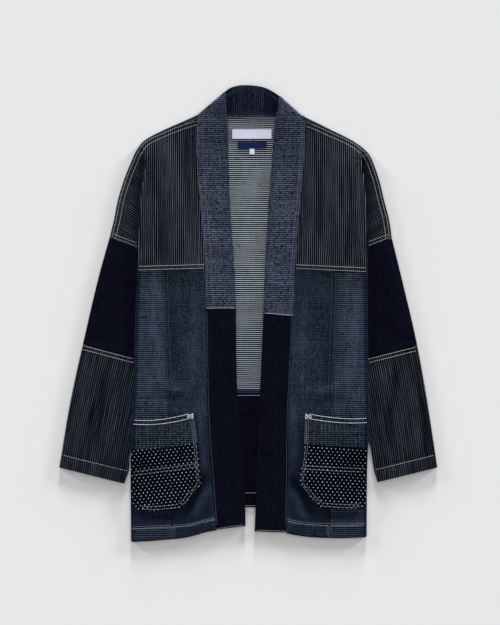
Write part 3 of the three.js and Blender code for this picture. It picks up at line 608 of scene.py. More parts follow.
def step_up(tree, value, start, end):
    """A soft step from 0 to 1 as the value goes from start to end."""
    made = tree.nodes.new("ShaderNodeMapRange")
    made.interpolation_type = "SMOOTHSTEP"
    for socket, given in zip(made.inputs, (value, start, end)):
        feed(tree, socket, given)
    return made.outputs[0]


def effect(name, takes, gives):
    """A new node group with its named inputs and outputs."""
    tree = bpy.data.node_groups.new(name, "ShaderNodeTree")
    for label, value in takes.items():
        socket = tree.interface.new_socket(label, in_out="INPUT", socket_type="NodeSocketFloat")
        socket.default_value = value
    for label in gives:
        tree.interface.new_socket(label, in_out="OUTPUT", socket_type="NodeSocketFloat")
    return tree, tree.nodes.new("NodeGroupInput").outputs, tree.nodes.new("NodeGroupOutput").inputs


def woven_lines():
    """Pale yarns in lines, unlike in strength from one to the next and broken along their length."""
    takes = dict(Across=0, Along=0, Pitch=3.6, Width=0.4, Waver=0.2, Unlike=0.4, Break=0.3, Dash=8, Lean=0)
    tree, given, gives = effect("woven_lines", takes, ["Mask"])
    along = given["Along"]
    waver = noise(tree, times(tree, given["Across"], 0.05), times(tree, along, 0.03), 0.0)
    place = plus(tree, given["Across"], times(tree, waver, given["Waver"]))
    place = times(tree, along, given["Lean"], place)
    line = maths(tree, "FLOOR", maths(tree, "DIVIDE", place, given["Pitch"]))
    half_pitch = times(tree, given["Pitch"], 0.5)
    start = times(tree, half_pitch, maths(tree, "SUBTRACT", 1.0, given["Width"]))
    aside = maths(tree, "PINGPONG", place, half_pitch)
    shape = step_up(tree, aside, start, times(tree, half_pitch, 0.3, start))
    strength = noise(tree, times(tree, line, 7.31), times(tree, along, 0.012), 3.0)
    unlike = times(tree, strength, times(tree, given["Unlike"], 2.0), 1.0)
    broken = noise(tree, times(tree, line, 3.77), maths(tree, "DIVIDE", along, given["Dash"]), 9.0)
    whole = step_up(tree, broken, plus(tree, given["Break"], -0.75), plus(tree, given["Break"], -0.3))
    mask = maths(tree, "MAXIMUM", times(tree, times(tree, shape, unlike), whole), 0.0)
    tree.links.new(maths(tree, "MINIMUM", mask, 1.3), gives["Mask"])
    return tree


def cotton_tone():
    """The tone of the ground: specks of yarn, slubs and streaks along the warp, worn clouds."""
    takes = dict(Across=0, Along=0, Slub=0.5, Streak=0.4, Cloud=0.4)
    tree, given, gives = effect("cotton_tone", takes, ["Tone", "Height"])

    def layer(across, along, seed, detail):
        place = (times(tree, given["Across"], across), times(tree, given["Along"], along))
        return noise(tree, *place, seed, detail)

    specks = times(tree, layer(0.95, 0.95, 0.0, 3.0), 0.5)
    tone = times(tree, layer(0.42, 0.05, 4.0, 2.0), given["Slub"], specks)
    tone = times(tree, layer(0.13, 0.022, 6.0, 2.0), given["Streak"], tone)
    tone = times(tree, layer(0.035, 0.025, 8.0, 2.0), given["Cloud"], tone)
    twill = maths(tree, "SINE", times(tree, plus(tree, given["Across"], given["Along"]), 6.2))
    tree.links.new(times(tree, twill, 0.12, tone), gives["Tone"])
    tree.links.new(times(tree, twill, 0.4, specks), gives["Height"])
    return tree


WOVEN_LINES, COTTON_TONE = woven_lines(), cotton_tone()


def shown(red, green, blue):
    """A colour as it looks, from 0 to 255, in the light's own numbers."""

    def linear(c):
        return ((c / 255 + 0.055) / 1.055) ** 2.4 if c > 10 else c / 3294.6

    return linear(red), linear(green), linear(blue), 1


def placed(tree, group, **values):
    made = tree.nodes.new("ShaderNodeGroup")
    made.node_tree = group
    for label, value in values.items():
        feed(tree, made.inputs[label], value)
    return made.outputs


def blended(tree, share, first, second):
    made = tree.nodes.new("ShaderNodeMix")
    made.data_type = "RGBA"
    for number, value in ((0, share), (6, first), (7, second)):
        feed(tree, made.inputs[number], value)
    return made.outputs[2]


def cotton(
    name, dark, pale, yarn, lines=(), figure=None, slub=0.4, streak=0.4, cloud=0.3, contrast=0.35,
    painted_shade_and_tone=None, wear_and_painted_highlight=None,
):
    """A woven cotton: a ground from dark to pale, then lines of yarn across (weft) or along it
    (warp) and a figure. Points marked with painted shade and darker tone, and points marked with wear and
    painted highlight, take on those colours."""
    made = bpy.data.materials.new(name)
    made.use_nodes = True
    tree = made.node_tree
    shader = tree.nodes["Principled BSDF"]
    shader.inputs["Specular IOR Level"].default_value = 0.02
    uv = tree.nodes.new("ShaderNodeUVMap")
    uv.uv_map = "cloth_mm"
    split = tree.nodes.new("ShaderNodeSeparateXYZ")
    tree.links.new(uv.outputs[0], split.inputs[0])
    across, along = split.outputs[0], split.outputs[1]
    tone = placed(tree, COTTON_TONE, Across=across, Along=along, Slub=slub, Streak=streak, Cloud=cloud)
    paleness = step_up(tree, tone["Tone"], -2 * contrast, 2 * contrast)
    color = blended(tree, paleness, shown(*dark), shown(*pale))
    height = tone["Height"]
    yarn_dim = times(tree, tone["Tone"], 0.45, 0.85)
    for way, settings in lines:
        aside, onward = (along, across) if way == "weft" else (across, along)
        mask = placed(tree, WOVEN_LINES, Across=aside, Along=onward, **settings)["Mask"]
        color = blended(tree, times(tree, mask, yarn_dim), color, shown(*yarn))
        height = times(tree, mask, 0.8, height)
    if figure:
        group, settings = figure
        mask = placed(tree, group, Across=across, Along=along, **settings)["Mask"]
        color = blended(tree, mask, color, shown(*yarn))
        height = times(tree, mask, 0.8, height)
    # Painted shade and painted highlight are laid into the base colour here, together with darker tone and
    # wear.
    for mark_name, mark_color, unevenness in (("painted_shade_and_tone", painted_shade_and_tone, 0.5), ("wear_and_painted_highlight", wear_and_painted_highlight, 1.6)):
        if mark_color:
            marked = tree.nodes.new("ShaderNodeAttribute")
            marked.attribute_name = mark_name
            share = times(tree, tone["Tone"], unevenness, 0.8)
            share = maths(tree, "MAXIMUM", times(tree, marked.outputs["Fac"], share), 0.0)
            color = blended(tree, maths(tree, "MINIMUM", share, 1.0), color, shown(*mark_color))
    tree.links.new(color, shader.inputs["Base Color"])
    tree.links.new(times(tree, tone["Tone"], 0.12, 0.88), shader.inputs["Roughness"])
    bump = tree.nodes.new("ShaderNodeBump")
    bump.inputs["Strength"].default_value = 0.6
    bump.inputs["Distance"].default_value = 0.00008
    tree.links.new(height, bump.inputs["Height"])
    tree.links.new(bump.outputs[0], shader.inputs["Normal"])
    return made


def mark(piece, name, share):
    """Marks a cloth's points with a share that depends on how far out they are and on their y."""
    at = np.array([v.co for v in piece.data.vertices]) * 1000
    layer = piece.data.attributes.new(name, "FLOAT", "POINT")
    layer.data.foreach_set("value", (share(np.abs(at[:, 0]), at[:, 1]) + 0 * at[:, 0]).astype("f"))


def finished(piece, node, outside, inside=None):
    """Gives a piece its cloths and lets it stand for its solid."""
    for face in (outside, inside or outside):
        piece.data.materials.append(face)
    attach(piece, "root")
    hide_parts(node)


OUTSIDE, INSIDE = 0, 1
back_upper = cloth(
    "back_upper_cloth",
    [
        (1, both_sides(back_upper_rows(right), back_upper_rows(left)), INSIDE, OUTSIDE),
        (1, shoulder_turn(left), OUTSIDE, INSIDE),
        (-1, shoulder_turn(right), OUTSIDE, INSIDE),
    ],
)

ribbed_outside = cotton(
    "ribbed_cloth_outside", (12, 18, 27), (26, 34, 46), (84, 98, 112),
    [("weft", dict(Pitch=3.62, Unlike=0.3))],
)
ribbed_inside = cotton(
    "ribbed_cloth_inside", (2, 6, 11), (13, 22, 29), (212, 226, 232),
    [("weft", dict(Pitch=3.555, Width=0.4, Waver=0.6, Unlike=0.2, Break=0, Dash=12, Lean=0.0083))],
    contrast=0.5, painted_shade_and_tone=(24, 34, 66),
)


def back_rim(out, y):
    """The seam below casts a dark line, and the cloth is a little darker towards the waist."""
    return 1.2 * smooth((BACK_SEAM_Y + 4.4 - y) / 0.8) + 0.16 * smooth((60 - y) / 120)


mark(back_upper, "painted_shade_and_tone", back_rim)
finished(back_upper, "back_upper", ribbed_outside, ribbed_inside)

# Lower back: a navy panel sewn to the upper back at the waist, its hem curved down to the sides.
# Of it only a narrow strip between the two bands is seen, and its hem below them.
def back_hem_y(out):
    return mix(-338, -379, smooth(out / 190))


def back_lower_rows(half):
    lines = lines_between(level(BACK_SEAM_Y - GAP), back_hem_y, 70)
    return body_rows(lines, MIDDLE, half.side_seam, BODY_COLUMNS, half.back_z)


back_lower = cloth(
    "back_lower_cloth",
    [(1, both_sides(back_lower_rows(right), back_lower_rows(left)), INSIDE, OUTSIDE)],
)

navy_cloth = cotton(
    "navy_cloth", (3, 4, 13), (10, 11, 24), (24, 27, 46),
    [("warp", dict(Pitch=1.9, Unlike=0.6, Break=0.5, Dash=9))],
    slub=0.5, streak=0.5, cloud=0.4,
)
THREAD = dict(slub=0.3, streak=0.0, cloud=0.0, contrast=0.6)
cream_thread = cotton("cream_thread", (116, 120, 116), (166, 169, 163), (172, 174, 166), **THREAD)
STITCH = 3.4
THREAD_RADIUS = 0.44
THREAD_RING = [(math.cos(a), math.sin(a)) for a in np.linspace(0, math.tau, 7)[:-1]]
STITCH_RUN = np.array([0, 0.22, 0.65, 0.87])  # its four rings, as shares of the pitch
STITCH_RISE = (-0.35, 0.2, 0.2, -0.35)
STITCH_WIDTH = (0.5, 1, 1, 0.5)


def sewn(name, pieces, rows, thread=cream_thread, pitch=STITCH, radius=THREAD_RADIUS):
    """Rows of stitches, each a short thread lying on the cloth with both its ends going in. The
    rows are x and y, and each stitch finds the height of the pieces under it."""
    surfaces = []
    for piece in pieces:
        points = [v.co for v in piece.data.vertices]
        surfaces.append(BVHTree.FromPolygons(points, [p.vertices for p in piece.data.polygons]))

    def height(x, y):
        above = Vector((x / 1000, y / 1000, 0.05))
        hits = [surface.ray_cast(above, Vector((0, 0, -1)))[0] for surface in surfaces]
        return max((hit.z * 1000 for hit in hits if hit), default=None)

    verts, faces = [], []
    sides = len(THREAD_RING)
    for row in rows:
        row = np.array(row, float)
        run = np.concatenate([[0], np.cumsum(np.hypot(*np.diff(row, axis=0).T))])
        for start in np.arange(0.4, run[-1] - pitch * 0.8, pitch):
            at = start + STITCH_RUN * pitch
            x, y = np.interp(at, run, row[:, 0]), np.interp(at, run, row[:, 1])
            z = [height(*place) for place in zip(x, y)]
            if None in z:
                continue
            way = towards((x[0], y[0]), (x[-1], y[-1]))
            first = len(verts)
            for px, py, pz, rise, width in zip(x, y, z, STITCH_RISE, STITCH_WIDTH):
                for aside, up in THREAD_RING:
                    step = aside * radius * width
                    verts.append((px - way[1] * step, py + way[0] * step, pz + rise + up * radius * 0.7))
            for ring in range(first, first + 3 * sides, sides):
                for k in range(sides):
                    beside = (k + 1) % sides
                    faces.append((ring + k, ring + beside, ring + beside + sides, ring + k + sides))
            faces.append(tuple(range(first + sides - 1, first - 1, -1)))
            faces.append(tuple(range(first + 3 * sides, first + 4 * sides)))
    mesh = bpy.data.meshes.new(name)
    mesh.from_pydata((np.array(verts) / 1000).tolist(), [], faces)
    mesh.polygons.foreach_set("use_smooth", [True] * len(faces))
    loops = np.empty(len(mesh.loops), int)
    mesh.loops.foreach_get("vertex_index", loops)
    layer = mesh.uv_layers.new(name="cloth_mm")
    layer.data.foreach_set("uv", np.array(verts)[loops, :2].astype("f").ravel())
    mesh.materials.append(thread)
    made = bpy.data.objects.new(name, mesh)
    bpy.context.scene.collection.objects.link(made)
    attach(made, "root")
    return made


finished(back_lower, "back_lower", navy_cloth)
gap_outs = np.linspace(-26, 32, 30)
back_rows = [[(x, y) for x in gap_outs] for y in (BACK_SEAM_Y - 5, -313, -335.5)]
back_stitches = sewn("back_stitching", [back_lower], back_rows)

# Yokes: the striped cloth over each shoulder and chest. With the sleeve laid down it is folded in
# at the armhole and out again, so a short cap lies beside the body with its stripes aslant.
SIDE_SPACING = 3.2  # between the two runs of the cloth that turns under at the side
HEM_STITCHED = 21  # how far up the hem is sewn down

# The rows of a hem are out and y. Those of the creases are the out and y of one end, the out and y
# of the other, how far the fold spreads to each side, and its height, which is negative in a trough.
right.hem = [(55.5, -377), (73, -380), (108, -389.5), (157, -394.5), (204.5, -397.5)]
right.hem_depth = (20.5, 25)
right.creases = [
    (182, 281, 178.5, 191, 5, 2.1), (166, 272, 166, 206, 6, -0.7), (144, 306, 142, 205, 8, 1.7),
    (149, 212, 154, 92, 9, -0.8), (175, 199, 171, 100, 8, 1.7), (110, 304, 101, 147, 13, -0.7),
    (123, 255, 128, 110, 9, 0.9), (160, 68, 163, -150, 11, 1.5), (136, 40, 139, -120, 9, -0.8),
    (99, 60, 95, -150, 8, 1.1), (171, -150, 115, -143, 6, -0.7), (150, -128, 106, -134, 8, 0.9),
    (84, -150, 78, -285, 7, 1.3), (109, -345, 72, -282, 9, -1.3), (97, -352, 66, -306, 8, 1.4),
    (150, -205, 190, -212, 9, 0.8), (130, -352, 185, -358, 7, -0.7),
]
left.hem = [(67, -382), (80, -384.8), (110, -388.8), (157, -390.6), (207.5, -389)]
left.hem_depth = (23.5, 23.5)
left.creases = [
    (188, 268, 199, 140, 5, 2.1), (122, 255, 126, 126, 8, -1.0), (147, 290, 152, 172, 10, 1.5),
    (182, 176, 171, 92, 8, -0.7), (176, 265, 180, 190, 6, -0.7), (105, 270, 104, 120, 8, 0.9),
    (178, 60, 182, -150, 12, 1.5), (149, 42, 140, -140, 9, -0.8), (102, 60, 93, -150, 9, 1.1),
    (172, -152, 135, -147, 6, -0.7), (160, -130, 120, -136, 8, 0.9), (80, -150, 79, -270, 7, 1.1),
    (77, -288, 114, -347, 9, -1.1), (73, -312, 101, -358, 8, 1.1), (125, -205, 180, -208, 9, 0.8),
    (135, -353, 190, -355, 7, -0.7),
]


def settled(out, y):
    """How far a place is past the back's hem, where the front lies on the table itself."""
    return smooth((back_hem_y(out) + 1 - y) / 18)


def creases(table):
    """The height of the soft folds that a table gives."""

    def height(out, y):
        total = 0.0
        for number, (out_a, y_a, out_b, y_b, spread, rise) in enumerate(table):
            long = math.hypot(out_b - out_a, y_b - y_a)
            way = ((out_b - out_a) / long, (y_b - y_a) / long)
            run = ((out - out_a) * way[0] + (y - y_a) * way[1]) / long
            aside = (out - out_a) * way[1] - (y - y_a) * way[0] + 0.3 * spread * np.sin(5 * run + number)
            ends = smooth((run + 0.2) / 0.4) * smooth((1.2 - run) / 0.4)
            total = total + rise * np.exp(-((aside / spread) ** 2)) * ends
        return total

    return height


def felled(above):
    """A seam's own cloth makes it higher on the side that it is sewn down on."""
    return 0.45 * smooth((above + 0.5) / 1.5) * smooth((11.5 - above) / 3)


def lay_front(half):
    """Gives a half its hem, the height of its front and that of its soft folds as functions."""
    fold, seam = half.fold, half.seam
    half.hem_y = curve(half.hem)
    half.hem_scale = lambda out: mix(*half.hem_depth, smooth((out - 60) / 130)) / HEM_STITCHED
    half.crease = creases(half.creases)

    def above_hem(out, y):
        """The height above the hem's edge, on a scale on which its stitches are all equally high."""
        return (y - half.hem_y(out)) / half.hem_scale(out)

    def front_lift(y):
        """The front's cloth starts to rise over the folded armhole sooner than the back's."""
        below = [np.maximum(y - step, half.underarm_y) for step in np.linspace(0, 26, 9)]
        return sum(half.armhole(at).lift for at in below) / len(below)

    def side_low_z(y):
        """The middle of the front's cloth where it lies turned under at the side."""
        return FLOOR + SLEEVE_STACK * half.over_sleeve(y)

    def front_rise(out, y):
        """The front spans the step at the tucked armhole in one long soft slope."""
        high = half.armhole(half.underarm_y).lift * smooth((half.corner[1] + 42 - y) / 72)
        near = mix(high, front_lift(y), smooth((out - fold(y) + 20) / 20))
        low = SLEEVE_STACK * half.over_sleeve(y)
        height = mix(near, low, smooth((half.underarm_y - 18 - y) / 60))
        span = mix(70, 42, smooth((half.underarm_y - y) / 120))
        return height * smooth((out - half.under_edge(y) + span + 4) / span)

    def fold_loft(y):
        at_armhole = 1.4 * (1 - smooth(half.armhole(y).turn / 1.8))
        at_side = (SIDE_SPACING - LAYER) * smooth((half.underarm_y - y) / 20)
        return np.where(y >= half.underarm_y, at_armhole, at_side)

    def hem_form(out, y):
        """The hem's turned-up cloth is a little higher, drawn in at its stitches and puckered."""
        above = above_hem(out, y)
        waves = np.sin((out + 0.7 * above) * 0.66 + 1.4 * np.sin(out / 19))
        puckers = 0.12 * waves * np.exp(-(((above - 12) / 8) ** 2))
        drawn_in = 0.2 * np.exp(-(((above - HEM_STITCHED) / 3.5) ** 2))
        return 0.25 * smooth((20 - above) / 4) - drawn_in + puckers

    def front_z(out, y):
        """The middle of the front's cloth, over back and sleeve or past the back's hem on the table."""
        soft = 0.5 * np.sin(out / 17 + y / 61) * np.sin(y / 47 + 1.1)
        inside = smooth((fold(y) - out - 3) / 9) * smooth((out - seam(y)) / 9)
        soft = soft + (half.crease(out, y) + hem_form(out, y) + felled(y - half.yoke_line(out))) * inside
        inner = mix(0.8, 1.4, smooth((out - seam(y)) / 20)) + soft
        loft = mix(inner, fold_loft(y), smooth((out - fold(y) + 30) / 25))
        on_table = FLOOR + SIDE_SPACING + 0.4 * smooth((fold(y) - out) / 40) + soft
        under = np.maximum(half.back_z(out, y), FLOOR + front_rise(out, y))
        return mix(under + LAYER + loft, on_table, settled(out, y))

    half.shoulder_seam = half.inset(lambda out: strip_width(out) + GAP)
    half.band_seam = lambda y: seam(y) + GAP
    half.above_hem, half.front_lift, half.side_low_z = above_hem, front_lift, side_low_z
    half.fold_loft, half.front_z = fold_loft, front_z


for half in halves:
    lay_front(half)


def side_columns(half, y):
    """The front turned under at the side, below the armhole, in to the side seam."""
    low = float(half.side_low_z(y))
    fold = float(half.fold(y))
    radius = (float(half.front_z(fold - FOLD_REACH, y)) - low) / 2
    start = fold - radius - FLOOR
    lean = math.pi * TURN
    turned = places(
        start + radius * np.sin(lean), y, low + radius + radius * np.cos(lean), lean, u=start + radius * lean
    )
    end = places(fold - SIDE_TURN_UNDER, y, low, math.pi, u=start + radius * math.pi + SIDE_TURN_UNDER)
    return np.concatenate([turned, end[None]])


def side_start(half):
    """Where the front starts to turn under, out at y."""

    def out(y):
        fold = half.fold(y)
        return fold - (half.front_z(fold - FOLD_REACH, y) - half.side_low_z(y)) / 2 - FLOOR

    return out


def with_sides(half, grid):
    """Body rows carried on round the side fold."""
    return np.array([np.concatenate([row, side_columns(half, row[-1, 1])]) for row in grid])


def yoke_rows(half):
    heights = np.linspace(350, 300, 81)
    top = heights[half.shoulder_seam(heights) > half.band_seam(heights) + 2][0]
    chest = []
    for y in np.linspace(top, half.corner[1] + 0.15, 20):
        out = np.linspace(float(half.band_seam(y)), float(half.shoulder_seam(y)), BODY_COLUMNS)
        chest.append(places(out, y, half.front_z(out, y)))
    fold = armhole_rows(
        half, half.band_seam, lambda y: LAYER / 2 + float(half.fold_loft(y)), FLOOR + EDGE_SPACING,
        half.shoulder_seam, half.front_z, half.front_lift,
    )
    lines = lines_between(level(half.underarm_y), half.yoke_line, 13)[1:]
    below = with_sides(half, body_rows(lines, half.band_seam, side_start(half), BODY_COLUMNS, half.front_z))
    return np.concatenate([widened(np.array(chest)), np.array(fold), widened(below)])


yokes = {h.name: cloth(f"yoke_{h.name}_cloth", [(h.sign, yoke_rows(h), OUTSIDE, INSIDE)]) for h in halves}

pinstripe = cotton(
    "pinstripe_cloth", (2, 4, 10), (10, 14, 23), (110, 120, 131),
    [("warp", dict(Pitch=3.62, Width=0.28, Waver=1.4, Unlike=0.6, Break=0.02, Dash=6))],
    streak=0.4, cloud=0.6, painted_shade_and_tone=(4, 5, 9), wear_and_painted_highlight=(58, 62, 70),
)


def mark_folds(piece, crease, wear_and_painted_highlight=None, painted_shade_and_tone=None):
    """Fold tops are painted pale, partly as wear and partly as painted highlight, and their troughs darker
    as painted shade, besides other marks.
    """
    extra = {"wear_and_painted_highlight": wear_and_painted_highlight, "painted_shade_and_tone": painted_shade_and_tone}
    for name, way, strength in (("wear_and_painted_highlight", 1, 0.12), ("painted_shade_and_tone", -1, 0.6)):
        other = extra[name] or (lambda out, y: 0 * out)
        mark(piece, name, lambda out, y: other(out, y) + strength * np.maximum(way * crease(out, y), 0))


def on_side(half, row):
    """A row of places out and y, as x and y on that side of the jacket."""
    return [(half.sign * float(out), float(y)) for out, y in row]


for half in halves:
    yoke = yokes[half.name]
    mark_folds(
        yoke, half.crease,
        lambda out, y: 0.25 * smooth((half.yoke_line(out) + 9 - y) / 4),
        # Painted shadow on the cap beside the armhole fold.
        lambda out, y: 0.8 * smooth((out - half.fold(y)) / 1.5) * smooth((half.fold(y) + 15 - out) / 13),
    )
    finished(yoke, f"yoke_{half.name}", pinstripe)
    edge = np.linspace(half.edge_start + 0.12, half.edge_end - 0.04, 90)
    depths = [float(strip_width(half.edge_at(k)[0])) for k in edge]
    rows = [[half.edge_at(k, depth + more) for k, depth in zip(edge, depths)] for more in (1.5, 8.0)]
    drop_outs = np.linspace(float(half.fold(120)) + 3, half.cap_end[0] - 6, 20)
    rows += [[(out, half.drop_y(out) + up) for out in drop_outs] for up in (2.2, 8.2)]
    yoke_outs = np.linspace(float(half.seam(80)) + 1.5, float(half.fold(80)) - 1.5, 30)
    rows += [[(out, half.yoke_line(out) + up) for out in yoke_outs] for up in (2.0, 8.2)]
    stitches = sewn(f"yoke_stitching_{half.name}", [yoke, back_upper], [on_side(half, row) for row in rows])

# Front panels: below each yoke a narrow slubbed panel lies beside the band, and a wider ribbed one
# goes round the side fold to the side seam. Both are turned up and sewn at the hem.
# The rows of a panel seam are y and out.
right.panel = [(77, 149), (-45, 146), (-185, 139.5), (-397, 133)]
left.panel = [(77, 155), (-45, 152), (-185, 147.5), (-397, 143.5)]
HEM_RADIUS = 0.85
HEM_TURNED = 13


def with_hem(grid, columns):
    """Rows carried on round the hem and a little way back under it."""
    rows = []
    for lean in math.pi * TURN:
        row = np.full_like(grid[-1], np.nan)
        row[:columns] = grid[-1, :columns]
        row[:, [1, 7]] -= HEM_RADIUS * np.array([math.sin(lean), lean])
        row[:, 2] -= HEM_RADIUS * (1 - math.cos(lean))
        row[:columns, 3:6] = (0, -math.sin(lean), math.cos(lean))
        rows.append(row)
    last = rows[-1].copy()
    last[:, [1, 7]] += np.array([1, -1]) * HEM_TURNED
    return np.concatenate([grid, np.array(rows + [last])])


MID_COLUMNS, SIDE_COLUMNS = 28, 24
fronts = {}
for half in halves:
    half.panel_seam = curve(half.panel)
    lines = lines_between(lambda out: half.yoke_line(out) - GAP, half.hem_y, 150)
    mid_edges = (half.band_seam, lambda y: half.panel_seam(y) - GAP / 2)
    side_edges = (lambda y: half.panel_seam(y) + GAP / 2, side_start(half))
    mid = with_hem(body_rows(lines, *mid_edges, MID_COLUMNS, half.front_z), MID_COLUMNS)
    side = body_rows(lines, *side_edges, SIDE_COLUMNS, half.front_z)
    side = with_hem(with_sides(half, side), SIDE_COLUMNS)
    fronts[half.name] = (
        cloth(f"front_mid_{half.name}_cloth", [(half.sign, mid, OUTSIDE, INSIDE)]),
        cloth(f"front_side_{half.name}_cloth", [(half.sign, side, OUTSIDE, INSIDE)]),
    )

# Strength of the painted shadow below each pocket.
right.low_shade, left.low_shade = 0.75, 0.35
right.mid_flat, right.side_flat = (0.093, 0.486), (0.087, 0.488)
left.mid_flat, left.side_flat = (0.088, 0.487), (0.083, 0.484)
slub_cloth = cotton(
    "slub_cloth", (4, 8, 16), (34, 44, 59), (68, 82, 98),
    [
        ("weft", dict(Pitch=3.62, Width=0.4, Waver=0.5, Unlike=0.8, Break=0.6, Dash=2.6)),
        ("warp", dict(Pitch=3.3, Width=0.4, Waver=0.8, Unlike=0.8, Break=0.72, Dash=2.0)),
    ],
    slub=0.45, streak=0.12, cloud=0.35, contrast=0.26, painted_shade_and_tone=(10, 16, 30), wear_and_painted_highlight=(72, 88, 112),
)
ribbed_front = cotton(
    "ribbed_front_cloth", (7, 12, 22), (22, 31, 44), (86, 100, 114),
    [
        ("weft", dict(Pitch=3.62, Width=0.4, Waver=0.3, Unlike=0.35, Break=0.2, Dash=7)),
        ("warp", dict(Pitch=5.2, Width=0.3, Waver=0.8, Unlike=0.6, Break=0.7, Dash=2.2)),
    ],
    slub=0.6, streak=0.7, cloud=0.6, contrast=0.4, painted_shade_and_tone=(9, 16, 38), wear_and_painted_highlight=(72, 88, 112),
)
blue_thread = cotton("blue_thread", (58, 70, 92), (92, 106, 130), (100, 110, 130), **THREAD)
for half in halves:
    mid, side = fronts[half.name]

    def hem_wear_and_painted_highlight(out, y):
        """The panel seam's bulk is rubbed pale on the hem, and the cloth just above its stitches carries a
        painted highlight along its ridge.
        """
        above = half.above_hem(out, y)
        bulk = 0.3 * smooth((6 - np.abs(out - half.panel_seam(y) + 2)) / 3) * smooth((19 - above) / 3)
        return bulk * smooth(above / 4) + 0.14 * smooth((1.3 - np.abs(above - 22.5)) / 1.3)

    def mid_wear_and_painted_highlight(out, y):
        # The hem's wear and painted highlight, and the cloth rubbed pale beside the band seam.
        return hem_wear_and_painted_highlight(out, y) + 0.1 * smooth((9 - out + half.seam(y)) / 7)

    def hem_painted_shade(out, y):
        # Painted shade on the hem's turned-up cloth below its stitches.
        return 0.6 * smooth((17 - half.above_hem(out, y)) / 3)

    def over_hem(out, y):
        return smooth((y - half.hem_y(out) - 19) / 5)

    def mid_painted_shade(out, y):
        # Painted shade, darker towards the hem, besides that on the hem.
        return 0.75 * smooth((-160 - y) / 60) * over_hem(out, y) + hem_painted_shade(out, y)

    def side_painted_shade(out, y):
        # Painted shade where the cloth rounds over the side fold, and a painted shadow below the pocket,
        # besides that on the hem.
        low = half.low_shade * smooth((-337 - y) / 8) * over_hem(out, y)
        return np.maximum(smooth((out - half.fold(y) + 10) / 6), low + hem_painted_shade(out, y))

    mark_folds(mid, half.crease, mid_wear_and_painted_highlight, mid_painted_shade)
    mark_folds(side, half.crease, hem_wear_and_painted_highlight, side_painted_shade)
    finished(mid, f"front_mid_{half.name}", slub_cloth)
    finished(side, f"front_side_{half.name}", ribbed_front)
    hem_outs = np.linspace(float(half.seam(-385)) + 2, float(half.fold(-385)) - 1.5, 40)
    hem_rows = []
    for up in (HEM_STITCHED, HEM_STITCHED - 2.8):
        hem_ys = half.hem_y(hem_outs) + up * half.hem_scale(hem_outs)
        hem_rows.append(on_side(half, zip(hem_outs, hem_ys)))
    seam_ys = np.linspace(float(half.yoke_line(145)) - 2, -150, 90)
    seam_outs = half.panel_seam(seam_ys)
    seam_rows = [on_side(half, zip(seam_outs - beside, seam_ys)) for beside in (1.8, 8.4)]
    stitches = [
        sewn(f"hem_stitching_{half.name}", [mid, side], hem_rows[:1], blue_thread),
        sewn(f"hem_second_stitching_{half.name}", [mid, side], hem_rows[1:], cream_thread, 4.2, 0.3),
        sewn(f"panel_stitching_{half.name}", [mid, side], seam_rows, blue_thread, 4.2, 0.22),
    ]
    below = ["back_upper", "back_lower"]

# Patch pockets: each lies over both panels, its side edge caught in the side seam. A ribbed facing
# on top, then a dotted bag whose lower inner corner is cut off.
# A row across a pocket has its inner y, outer y and sag. The inner edge has rows of y and out.
right.pocket = SimpleNamespace(
    top=(-172.5, -183, 4), split=(-224.5, -237, 2), knee=(-298, -320, 0), bottom=(-339.5, -343, 2),
    inner=[(-172.5, 95.5), (-225, 88.5), (-298, 82.5)], corner_out=116, outer_cut=11,
    middle=(-260.6, -275.5, 0.5),
)
left.pocket = SimpleNamespace(
    top=(-173, -180, 3), split=(-227, -233.5, 1), knee=(-297, -318, 0), bottom=(-337, -339, 2),
    inner=[(-173, 99.5), (-227, 98), (-297, 89.5)], corner_out=123.5, outer_cut=4,
    middle=(-265, -270, 0.5),
)


def pocket_row(half, row, inner, shift=0.0, cut=0.0):
    inner_y, outer_y, sag = row
    outer = float(half.fold(outer_y)) - 2 - cut
    t = np.linspace(0, 1, 38)
    out = mix(inner, outer, t)
    y = mix(inner_y, outer_y, t) - sag * 4 * t * (1 - t) + shift
    mouth = 0.7 * smooth((y - inner_y + 16) / 16) * smooth(t * 4) * smooth((1 - t) * 4)
    return places(out, y, half.front_z(out, y) + LAYER + 0.3 + mouth)


pockets = {}
for half in halves:
    pocket = half.pocket
    inner_edge = half.pocket_edge = curve(pocket.inner)
    top, split, knee, bottom = np.array([pocket.top, pocket.split, pocket.knee, pocket.bottom], float)
    facing = []
    for t in np.linspace(0, 1, 18):
        row = mix(top, split, t)
        facing.append(pocket_row(half, row, float(inner_edge(row[0])), GAP / 2 if t == 1 else 0))
    bag = []
    for t in np.linspace(0, 1, 25):
        row = mix(split, knee, t)
        bag.append(pocket_row(half, row, float(inner_edge(row[0])), 0 if t else -GAP / 2))
    for t in np.linspace(0, 1, 13)[1:]:
        inner = mix(pocket.inner[2][1], pocket.corner_out, t)
        bag.append(pocket_row(half, mix(knee, bottom, t), inner, cut=pocket.outer_cut * t**2))
    pockets[half.name] = (
        cloth(f"pocket_facing_{half.name}", [(half.sign, np.array(facing), OUTSIDE, INSIDE)]),
        cloth(f"pocket_bag_{half.name}", [(half.sign, np.array(bag), OUTSIDE, INSIDE)]),
    )


